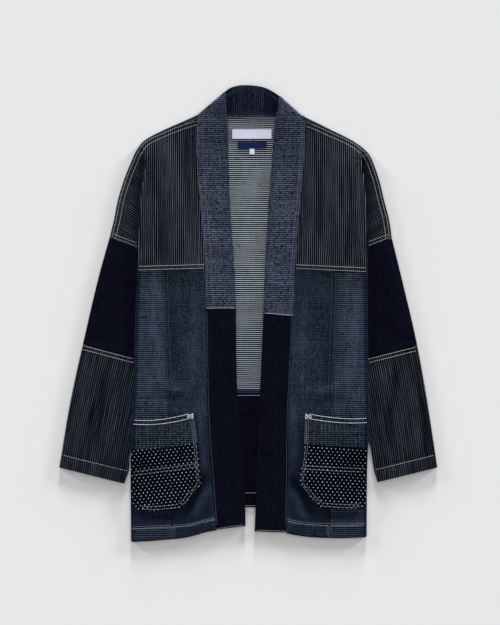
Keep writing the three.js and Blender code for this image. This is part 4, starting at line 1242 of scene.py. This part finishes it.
def staggered_dots():
    """Small pale dots in rows, every second row shifted by half a pitch."""
    takes = dict(Across=0, Along=0, Pitch=7.6, Row=5.38, Radius=1.0, Slope=0)
    tree, given, gives = effect("staggered_dots", takes, ["Mask"])
    along = times(tree, given["Across"], given["Slope"], given["Along"])
    across = times(tree, given["Along"], times(tree, given["Slope"], -1.0), given["Across"])
    row = maths(tree, "ROUND", maths(tree, "DIVIDE", along, given["Row"]))
    half_pitch = times(tree, given["Pitch"], 0.5)
    shift = times(tree, maths(tree, "PINGPONG", row, 1.0), half_pitch)
    stray = noise(tree, times(tree, across, 0.12), times(tree, row, 3.3), 5.0)
    aside = maths(tree, "PINGPONG", plus(tree, plus(tree, across, stray), shift), half_pitch)
    above = maths(tree, "ABSOLUTE", maths(tree, "SUBTRACT", along, times(tree, row, given["Row"])))
    reach = plus(tree, maths(tree, "POWER", aside, 2.0), maths(tree, "POWER", above, 2.0))
    radius = given["Radius"]
    dot = step_up(tree, maths(tree, "SQRT", reach), times(tree, radius, 1.4), times(tree, radius, 0.6))
    fade = noise(tree, times(tree, across, 0.26), times(tree, given["Along"], 0.26), 2.0, 2.0)
    tree.links.new(times(tree, dot, times(tree, fade, 1.1, 0.75)), gives["Mask"])
    return tree


STAGGERED_DOTS = staggered_dots()
ribbed_facing = cotton(
    "ribbed_facing_cloth", (6, 10, 18), (19, 27, 38), (76, 90, 103),
    [
        ("weft", dict(Pitch=3.62, Width=0.36, Waver=0.3, Unlike=0.5, Break=0.4, Dash=3.6)),
        ("warp", dict(Pitch=6.6, Width=0.3, Waver=0.6, Unlike=0.6, Break=0.6, Dash=2.2)),
    ],
    slub=0.6, streak=0.6, contrast=0.4, painted_shade_and_tone=(9, 16, 38), wear_and_painted_highlight=(96, 108, 124),
)
grey_thread = cotton("grey_thread", (84, 90, 94), (128, 136, 140), (134, 142, 146), **THREAD)
white_thread = cotton("white_thread", (168, 172, 178), (214, 218, 222), (220, 220, 224), **THREAD)
TACK = 9.0  # a side of the crossed square sewn at the mouth's inner corner


def across_pocket(half, row, first, before, down, after=3.0, sunk=0.0):
    """A line across a pocket, a distance below one of its rows."""
    inner_y, outer_y, sag = row
    t = np.linspace(0, 1, 30)
    out = mix(first + before, float(half.fold(outer_y)) - 2 - after, t)
    low = sag * 4 * t * (1 - t) + down + sunk * 4 * t**2 * (1 - t)
    return on_side(half, zip(out, mix(inner_y, outer_y, t) - low))


for half in halves:
    facing, bag = pockets[half.name]
    pocket = half.pocket
    inner_edge = half.pocket_edge
    slope = half.sign * (pocket.split[1] - pocket.split[0]) / 115
    dotted_cloth = cotton(
        f"dotted_cloth_{half.name}", (1, 2, 9), (6, 10, 21), (218, 227, 229),
        figure=(STAGGERED_DOTS, dict(Radius=0.72, Slope=-slope * 1.1)), cloud=0.5, painted_shade_and_tone=(9, 16, 38),
    )
    # Painted shade where the facing rounds over the side fold.
    mark(facing, "painted_shade_and_tone", lambda out, y: smooth((out - half.fold(y) + 12) / 7))
    mark(facing, "wear_and_painted_highlight", lambda out, y: 0.6 * smooth((2.5 - np.abs(out - inner_edge(y) - 1)) / 2))
    finished(facing, f"pocket_top_{half.name}", ribbed_facing)
    finished(bag, f"pocket_lower_{half.name}", dotted_cloth)

    mouth_out = float(inner_edge(pocket.top[0]))
    mouth_rows = []
    for before, down in ((8, 1.9), (3, 9.2)):
        mouth_rows.append(across_pocket(half, pocket.top, mouth_out, before, down, 1.5, 1.2))
    middle_out = float(inner_edge(pocket.middle[0]))
    edge_rows = [across_pocket(half, pocket.middle, middle_out, 2.5, down) for down in (0, 6)]
    knee_out, knee_y = pocket.inner[2][1], pocket.knee[0]
    for inside in (2.4, 7.4):
        edge_ys = np.linspace(pocket.top[0] - 9, knee_y + 2, 30)
        edge_rows.append(on_side(half, [(float(inner_edge(y)) + (inside + 1.6) * 0.7, y) for y in edge_ys]))
        foot = (pocket.corner_out + inside * 0.6, pocket.bottom[0] + inside)
        edge_rows.append(on_side(half, [(knee_out + inside, knee_y), foot]))
        before, after = 1.5 + inside * 0.6, 4 + pocket.outer_cut
        edge_rows.append(across_pocket(half, pocket.bottom, pocket.corner_out, before, -inside, after))
    near = np.array([float(inner_edge(-176)) + 1.5, pocket.top[0] - 1.5])
    square = [near, near + (TACK, 0.3), near + (TACK, 0.3 - TACK), near + (0, -TACK)]
    tack_rows = [on_side(half, [square[a], square[b]]) for a, b in ((1, 2), (3, 0), (0, 2), (1, 3))]
    mouth = sewn(f"pocket_mouth_stitching_{half.name}", [facing], mouth_rows, white_thread, 3.1, 0.43)
    edges = sewn(f"pocket_stitching_{half.name}", [facing, bag], edge_rows, grey_thread, 3.2, 0.32)
    tacks = sewn(f"pocket_tack_{half.name}", [facing], tack_rows, white_thread, 2.4, 0.8)

# Collar band: one folded strip sewn along both front edges and round the neck. Beside the neck it
# rolls over and comes down the front, ribbed as far as the waist and navy from there to the hem.
BAND = 2.6  # its two layers together
BAND_ROLL = (1.7, 3.2)  # radius at the sewn edge and at the free edge
BAND_UNDER = 2.2  # how far it runs on below its roll
ROLL_LENGTH = 110
ON_BACK = CLOTH + GAP + BAND / 2
ACROSS = np.linspace(0, 1, 19)
right.band_seam_y, right.band_end_y = (9, 9.5), (-377, -370.5)
left.band_seam_y, left.band_end_y = (-3.5, 0.5), (-382, -380)
right.band_inset, left.band_inset = 11.5, 6
bands = {}
for half in halves:
    half.free = curve(half.band)
    fold_way = towards(half.band_fold[1], half.band_fold[0])
    fold_ends = (np.array(half.band_fold[0]) + 1.4 * fold_way, np.array(half.band_fold[1]))
    outwards = np.array([-fold_way[1], fold_way[0]])

    def fold_at(v, depth):
        return mix(*fold_ends, v) - outwards * depth

    def band_z(v, out, y, top):
        rolled = (BAND / 2 + 2 * mix(*BAND_ROLL, v) - ON_BACK) * smooth(1 - (top - y) / ROLL_LENGTH)
        edge = 0.6 * smooth((v - 0.5) / 0.5) * smooth((top - y) / 20)
        return mix(ON_BACK + rolled + edge, BAND / 2 + 1.9, settled(out, y))

    def band_place(v, out, y):
        z = float(band_z(v, out, y, fold_at(v, 0)[1]))
        return places(out, y, z, u=out - float(half.free(y)), v=y)

    turned = []
    for t in [-1, *np.linspace(0, 1, 13)[:-1]]:
        row = []
        for v in ACROSS:
            radius = mix(*BAND_ROLL, v)
            centre = fold_at(v, radius + BAND / 2)
            low = fold_at(v, radius + BAND / 2 + BAND_UNDER)
            lean = math.pi * (1 - max(t, 0))
            at = low if t < 0 else centre + outwards * radius * math.sin(lean)
            z = BAND / 2 if t < 0 else BAND / 2 + radius + radius * math.cos(lean)
            beyond = radius * lean + (BAND_UNDER if t < 0 else 0)
            u = centre[0] - float(half.free(centre[1]))
            row.append(places(at[0], at[1], z, lean, outwards, u, centre[1] + beyond))
        turned.append(np.array(row))
    upper = []
    for run in np.concatenate([np.linspace(0, 0.12, 16)[:-1], np.linspace(0.12, 1, 92)]):
        row = []
        for v in ACROSS:
            start = fold_at(v, mix(*BAND_ROLL, v) + BAND / 2)
            y = mix(start[1], mix(*half.band_seam_y, v), run)
            below = mix(float(half.seam(y)), float(half.free(y)), v)
            row.append(band_place(v, mix(start[0], below, smooth(run / mix(0.03, 0.12, v))), y))
        upper.append(np.array(row))
    lower = []
    for run in np.linspace(0, 2, 125):
        row = []
        for v in ACROSS:
            start = mix(*half.band_seam_y, v) - GAP
            end = mix(*half.band_end_y, v)
            hem = float(back_hem_y(mix(float(half.seam(end)), float(half.free(end)), v))) + 1
            y = mix(start, hem, run / 1.8) if run < 1.8 else mix(hem, end, (run - 1.8) / 0.2)
            row.append(band_place(v, mix(float(half.seam(y)), float(half.free(y)), v), y))
        lower.append(np.array(row))
    bands[half.name] = (
        cloth(f"band_upper_{half.name}_cloth", [(half.sign, np.array(turned + upper), 0, 0)], BAND),
        cloth(f"band_lower_{half.name}_cloth", [(half.sign, np.array(lower), 0, 0)], BAND),
    )

ribbed_band = cotton(
    "ribbed_band_cloth", (11, 16, 28), (33, 39, 54), (112, 122, 142),
    [
        ("weft", dict(Pitch=3.56, Width=0.44, Waver=0.3, Unlike=0.5, Break=0.42, Dash=3.2)),
        ("warp", dict(Pitch=3.5, Width=0.3, Waver=0.5, Unlike=0.9, Break=0.68, Dash=2.4)),
    ],
    slub=0.5, streak=0.5, cloud=0.9, contrast=0.45, painted_shade_and_tone=(26, 34, 50), wear_and_painted_highlight=(88, 99, 116),
)
UPPER_YS, LOWER_YS = np.linspace(338, 13, 120), np.linspace(4, -372, 120)
for half in halves:
    upper, lower = bands[half.name]

    def band_wear(out, y):
        """The band is rubbed pale along its seam, and where its two cloths join."""
        at_seam = 0.4 * smooth((1.8 - np.abs(out - half.seam(y) + 1.6)) / 1.2)
        return at_seam + 0.3 * smooth((1.4 - np.abs(y - half.band_seam_y[0] - 1.4)) / 1)

    def band_painted_shade(out, y):
        # Painted shade towards the neck roll and along the band's free edge.
        return 0.3 * smooth((y - 235) / 60) + 0.3 * smooth((half.free(y) + 12 - out) / 10)

    def along_band(edge, beside, ys):
        return on_side(half, [(edge(y) + beside, y) for y in ys])

    def across_band(end_ys, near_y, inside, up):
        outs = np.linspace(float(half.seam(near_y)) - inside, float(half.free(near_y)) + inside, 20)
        return on_side(half, zip(outs, mix(*end_ys, np.linspace(0, 1, 20)) + up))

    mark(upper, "wear_and_painted_highlight", band_wear)
    mark(upper, "painted_shade_and_tone", band_painted_shade)
    finished(upper, f"band_upper_{half.name}", ribbed_band)
    finished(lower, f"band_lower_{half.name}", navy_cloth)
    neck_ys = np.linspace(float(half.band_fold[1][1]) - 3, float(half.neck_seam_y(0)) - 30, 24)
    stitches = ([], [])
    for label, part, row, thread, pitch, radius in (
        ("band", 0, along_band(half.seam, -1.7, UPPER_YS), blue_thread, 3.2, 0.34),
        ("band_lower", 1, along_band(half.seam, -1.7, LOWER_YS), blue_thread, 4.4, 0.26),
        ("band_end", 1, across_band(half.band_end_y, -375, 2, 2.2), cream_thread, 4.2, 0.26),
        ("band_join", 0, across_band(half.band_seam_y, 10, 1, 1.1), cream_thread, 3.0, 0.46),
        ("band_inner", 0, along_band(half.seam, -half.band_inset, UPPER_YS), grey_thread, 3.6, 0.28),
        ("band_edge", 0, along_band(half.free, 1.6, neck_ys), blue_thread, 3.2, 0.3),
    ):
        name = f"{label}_stitching_{half.name}"
        stitches[part].append(sewn(name, [bands[half.name][part]], [row], thread, pitch, radius))

# Neck stretch of the band: the same folded strip between its two rolled ends. It is sewn to the
# back's neck seam and lies flat above it. The rows of its top edge are x and y.
NECK_TOP = [
    (-41, 388), (-33, 394), (-18, 398.8), (-6, 399.7), (10, 399), (23, 397), (35, 393), (46, 387),
    (56, 380.5),
]
NECK_KNEE = 0.9  # the share of its rows below the ends' upper corners
neck_top = curve(NECK_TOP)
ends = []
for half in halves:
    way = towards(half.band_fold[1], half.band_fold[0])

    def beside_roll(at, radius):
        depth = radius + BAND / 2 + BAND_UNDER + GAP
        return np.array([at[0] + way[1] * depth, at[1] - way[0] * depth])

    knee = beside_roll(half.band_fold[1], BAND_ROLL[1])
    end_line = curve([beside_roll(half.band_fold[0], BAND_ROLL[0]), knee], 1, 0)
    low_out = float(meet(end_line, lambda at: half.neck_seam_y(at) + GAP))
    top_out = half.band_fold[1][0] - 0.6
    bottom = np.array([low_out, float(half.neck_seam_y(low_out)) + GAP])
    top = np.array([top_out, float(neck_top(half.sign * top_out))])
    ends.append(SimpleNamespace(bottom=bottom, knee=knee, top=top))

across = np.linspace(0, 1, 50)
top_x = mix(-ends[0].top[0], ends[1].top[0], across)
low_x = mix(-ends[0].bottom[0], ends[1].bottom[0], across)
low_y = np.where(low_x < 0, right.neck_seam_y(-low_x), left.neck_seam_y(low_x)) + GAP
neck_rows = []
for t in [*np.linspace(0, NECK_KNEE, 15), *np.linspace(NECK_KNEE, 1, 4)[1:]]:
    if t <= NECK_KNEE:
        at = [mix(end.bottom, end.knee, t / NECK_KNEE) for end in ends]
    else:
        at = [mix(end.knee, end.top, (t - NECK_KNEE) / 0.1) for end in ends]
    shares = [(a[1] - end.bottom[1]) / (end.top[1] - end.bottom[1]) for a, end in zip(at, ends)]
    share = mix(*shares, across)
    x = mix(-at[0][0], at[1][0], across)
    y = mix(low_y, neck_top(top_x), share)
    rise = smooth((share - 0.05) / 0.8) * smooth((across - 0.02) * 7) * smooth((0.98 - across) * 7)
    neck_rows.append(places(x, y, BAND / 2 + 3.4 * rise, u=y, v=x))
neck_band = cloth("neck_band_cloth", [(1, np.array(neck_rows), 0, 0)], BAND)

neck_cloth = cotton(
    "neck_cloth", (7, 11, 22), (25, 33, 49), (62, 75, 94),
    [("weft", dict(Pitch=3.62, Width=0.34, Waver=0.6, Unlike=0.8, Break=0.45, Dash=6))],
    contrast=0.5, painted_shade_and_tone=(7, 10, 22), wear_and_painted_highlight=(44, 56, 76),
)
mark(neck_band, "wear_and_painted_highlight", lambda out, y: 0.25 * smooth((NECK_SEAM_Y + 9 - y) / 4))
mark(neck_band, "painted_shade_and_tone", lambda out, y: 0.6 * smooth((out - 22) / 16))
finished(neck_band, "neck_band", neck_cloth)
neck_xs = np.linspace(-34, 45, 30)
neck_line = [(x, (right if x < 0 else left).neck_seam_y(abs(x)) + GAP + 2.2) for x in neck_xs]
neck_stitches = sewn("neck_stitching", [neck_band], [neck_line], blue_thread, 3.2, 0.36)

# Sleeves: wide flat tubes of cotton, a navy one sewn on at the drop seam and a broken-striped one
# from there to the turned-up cuff. Their inner edges lie under the body's sides.
SLEEVE_INNER_RADIUS = 0.85
SLEEVE_OUTER_RADIUS = 1.5
UPPER_LENGTH, LOWER_LENGTH = 190, 215
CUFF_STITCHED = 22  # how far up the cuff is sewn down
UNDER, OUTER_TURN, TOP, INNER_TURN = 41, 7, 46, 5  # points along each run of a ring

# The rows of an outer edge are y and out, and those of the creases are as on the fronts. A seam or
# a cuff has its y at the outer edge and at the inner one.
right.sleeve_outer = [(134, 242), (59.5, 262.5), (-45.5, 287), (-150, 310), (-268, 330)]
right.sleeve_seam_y, right.cuff_y = (-53, -87), (-268.3, -296.5)
left.sleeve_outer = [(133, 251.5), (59.5, 269.5), (-45.5, 294), (-150, 313), (-268, 331)]
left.sleeve_seam_y, left.cuff_y = (-55, -87), (-268.3, -294)
right.sleeve_creases = [
    (244, 110, 262, -30, 12, 1.7), (224, 40, 236, -60, 10, -0.7), (284, -84, 297, -229, 8, 1.7),
    (254, -101, 264, -238, 8, -1.1), (236, -112, 240, -245, 7, 1.5), (270, -150, 282, -260, 5, -0.7),
    (300, -160, 308, -262, 7, 1.1),
]
left.sleeve_creases = [
    (250, 110, 268, -30, 12, 1.5), (232, 60, 240, -50, 10, -0.7), (258, -92, 246, -235, 8, -1.1),
    (283, -88, 293, -235, 8, 1.7), (238, -100, 236, -170, 7, 1.3), (272, -140, 264, -250, 7, 1.1),
    (304, -150, 312, -262, 7, -0.7),
]


def sleeve_ring(half, u, shift=0.0):
    """One ring of a sleeve, out along its lower side and in along its upper one. Its place u goes
    from 0 at the drop seam over 1 at the sleeve seam to 2 at the cuff."""

    def at_place(drop, seam, cuff):
        return mix(drop, seam, u) if u < 1 else mix(seam, cuff, u - 1)

    outer_y = at_place(half.cap_end[1], half.sleeve_seam_y[0], half.cuff_y[0])
    inner_y = at_place(half.underarm[1], half.sleeve_seam_y[1], half.cuff_y[1])
    inner = np.array([float(half.sleeve_edges[0](inner_y)), inner_y + shift])
    outer = np.array([float(half.sleeve_edges[1](outer_y)), outer_y + shift])
    way = towards(inner, outer)
    near = SLEEVE_INNER_RADIUS + FLOOR
    far = float(np.hypot(*(outer - inner))) - SLEEVE_OUTER_RADIUS - FLOOR
    along = at_place(0.0, UPPER_LENGTH, UPPER_LENGTH + LOWER_LENGTH) - shift
    above_cuff = UPPER_LENGTH + LOWER_LENGTH - along

    def top_z(run):
        out, y = inner[0] + way[0] * run, inner[1] + way[1] * run
        past = out - half.fold(y) - 3
        rise = smooth(np.minimum(past / RAMP, (run - near) / RAMP))
        soft = 0.6 * smooth(u * 3) * smooth(past / 30) * smooth((far - run) / 25)
        creased = half.sleeve_crease(out, y) + felled(UPPER_LENGTH - along)
        cuff = 0.35 * smooth((CUFF_STITCHED - 1 - above_cuff) / 3)
        cuff = cuff - 0.4 * np.exp(-(((above_cuff - CUFF_STITCHED) / 3.5) ** 2))
        soft = soft + (creased + cuff) * smooth(past / 12) * smooth((far - run) / 8) * smooth(u * 9)
        return mix(FLOOR + 2 * SLEEVE_INNER_RADIUS, FLOOR + 2 * SLEEVE_OUTER_RADIUS, rise) + soft

    outer_lean = math.pi * (1 - np.linspace(0, 1, OUTER_TURN + 2)[1:-1])
    inner_lean = -math.pi * np.linspace(0, 1, INNER_TURN + 2)[1:-1]
    back = np.linspace(far, near, TOP)
    runs = [
        np.linspace(near, far, UNDER), far + SLEEVE_OUTER_RADIUS * np.sin(outer_lean),
        back, near + SLEEVE_INNER_RADIUS * np.sin(inner_lean), [near],
    ]
    heights = [
        np.full(UNDER, FLOOR), FLOOR + SLEEVE_OUTER_RADIUS * (1 + np.cos(outer_lean)),
        top_z(back), FLOOR + SLEEVE_INNER_RADIUS * (1 + np.cos(inner_lean)), [FLOOR],
    ]
    run, z = np.concatenate(runs), np.concatenate(heights)
    lean = np.concatenate([np.full(UNDER, math.pi), outer_lean, np.zeros(TOP), inner_lean, [math.pi]])
    around = np.concatenate([[0], np.cumsum(np.hypot(np.diff(run), np.diff(z)))])
    around -= around[UNDER + OUTER_TURN // 2]
    return places(inner[0] + way[0] * run, inner[1] + way[1] * run, z, lean, way, around, -along)


sleeves = {}
for half in halves:
    half.sleeve_edges = (curve(half.sleeve_inner), curve(half.sleeve_outer))
    half.sleeve_crease = creases(half.sleeve_creases)
    upper = [sleeve_ring(half, 0, -GAP)]
    upper += [sleeve_ring(half, u) for u in np.linspace(0, 1, 60)[1:-1]]
    upper.append(sleeve_ring(half, 1 - 1e-9, GAP / 2))
    lower = [sleeve_ring(half, 1, -GAP / 2)] + [sleeve_ring(half, u) for u in np.linspace(1, 2, 66)[1:]]
    grids = [[(half.sign, np.array(rings), OUTSIDE, INSIDE)] for rings in (upper, lower)]
    sleeves[half.name] = (
        cloth(f"sleeve_upper_{half.name}_cloth", grids[0], ring=True),
        cloth(f"sleeve_lower_{half.name}_cloth", grids[1], ring=True),
    )

right.sleeve_shade, left.sleeve_shade = 0.15, 0.5
dashed_cloth = cotton(
    "dashed_cloth", (3, 5, 11), (13, 17, 25), (100, 110, 119),
    [("warp", dict(Pitch=3.64, Width=0.26, Waver=0.8, Unlike=0.85, Break=0.1, Dash=7))],
    streak=0.7, cloud=0.6, contrast=0.4, painted_shade_and_tone=(4, 6, 9), wear_and_painted_highlight=(54, 59, 66),
)


def across_sleeve(half, u):
    """A line across the sleeve's upper side, from where it comes out from under the body."""
    top = sleeve_ring(half, u)[UNDER + OUTER_TURN:UNDER + OUTER_TURN + TOP, :2][::-1]
    return on_side(half, [(out, y) for out, y in top if out > half.fold(y) - 1])


for half in halves:
    upper, lower = sleeves[half.name]
    inner_edge, outer_edge = half.sleeve_edges
    outer_y, inner_y = half.cuff_y
    outer_out, inner_out = float(outer_edge(outer_y)), float(inner_edge(inner_y))

    def cuff_wear(out, y):
        cuff = mix(inner_y, outer_y, (out - inner_out) / (outer_out - inner_out))
        return 0.05 * smooth((20 - y + cuff) / 4) * smooth((y - cuff + 3) / 4)

    def outer_shade(out, y):
        return half.sleeve_shade * smooth((out - outer_edge(y) + 45) / 45)

    mark_folds(lower, half.sleeve_crease, cuff_wear, outer_shade)
    finished(upper, f"sleeve_upper_{half.name}", navy_cloth)
    finished(lower, f"sleeve_lower_{half.name}", dashed_cloth)
    seam_rows = [across_sleeve(half, 1 + down / LOWER_LENGTH) for down in (2.2, 8.6)]
    cuff_row = across_sleeve(half, 2 - CUFF_STITCHED / LOWER_LENGTH)
    stitches = [
        sewn(f"sleeve_stitching_{half.name}", [lower], seam_rows),
        sewn(f"cuff_stitching_{half.name}", [lower], [cuff_row], cream_thread, 3.4, 0.36),
    ]

# Labels: three bare woven tapes, fixed to the inside of the back below the neck. The smallest is a
# tab no larger than a fingernail.
TAPE = 1.0
TAPE_LOOK = dict(slub=0.2, streak=0.2, cloud=0.2)
white_tape = cotton("white_tape", (212, 209, 230), (226, 222, 243), (232, 229, 248), **TAPE_LOOK)
navy_tape = cotton("navy_tape", (20, 29, 66), (30, 40, 84), (60, 70, 110), **TAPE_LOOK)
for name, slot, tape, x0, x1, y0, y1 in (
    ("label_main", "label", white_tape, -27.5, 41, 306.5, 323),
    ("label_small", "label_navy", navy_tape, -17.5, 32.5, 289.5, 300.5),
    ("size_tab", "label", white_tape, 3, 11.5, 279.5, 288.8),
):
    x, y = np.meshgrid(np.linspace(x0, x1, 30), np.linspace(y1, y0, 9))
    label = cloth(f"{name}_tape", [(1, places(x, y, CLOTH + 0.3 + TAPE / 2), 0, 0)], TAPE)
    finished(label, name, tape)

low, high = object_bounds()
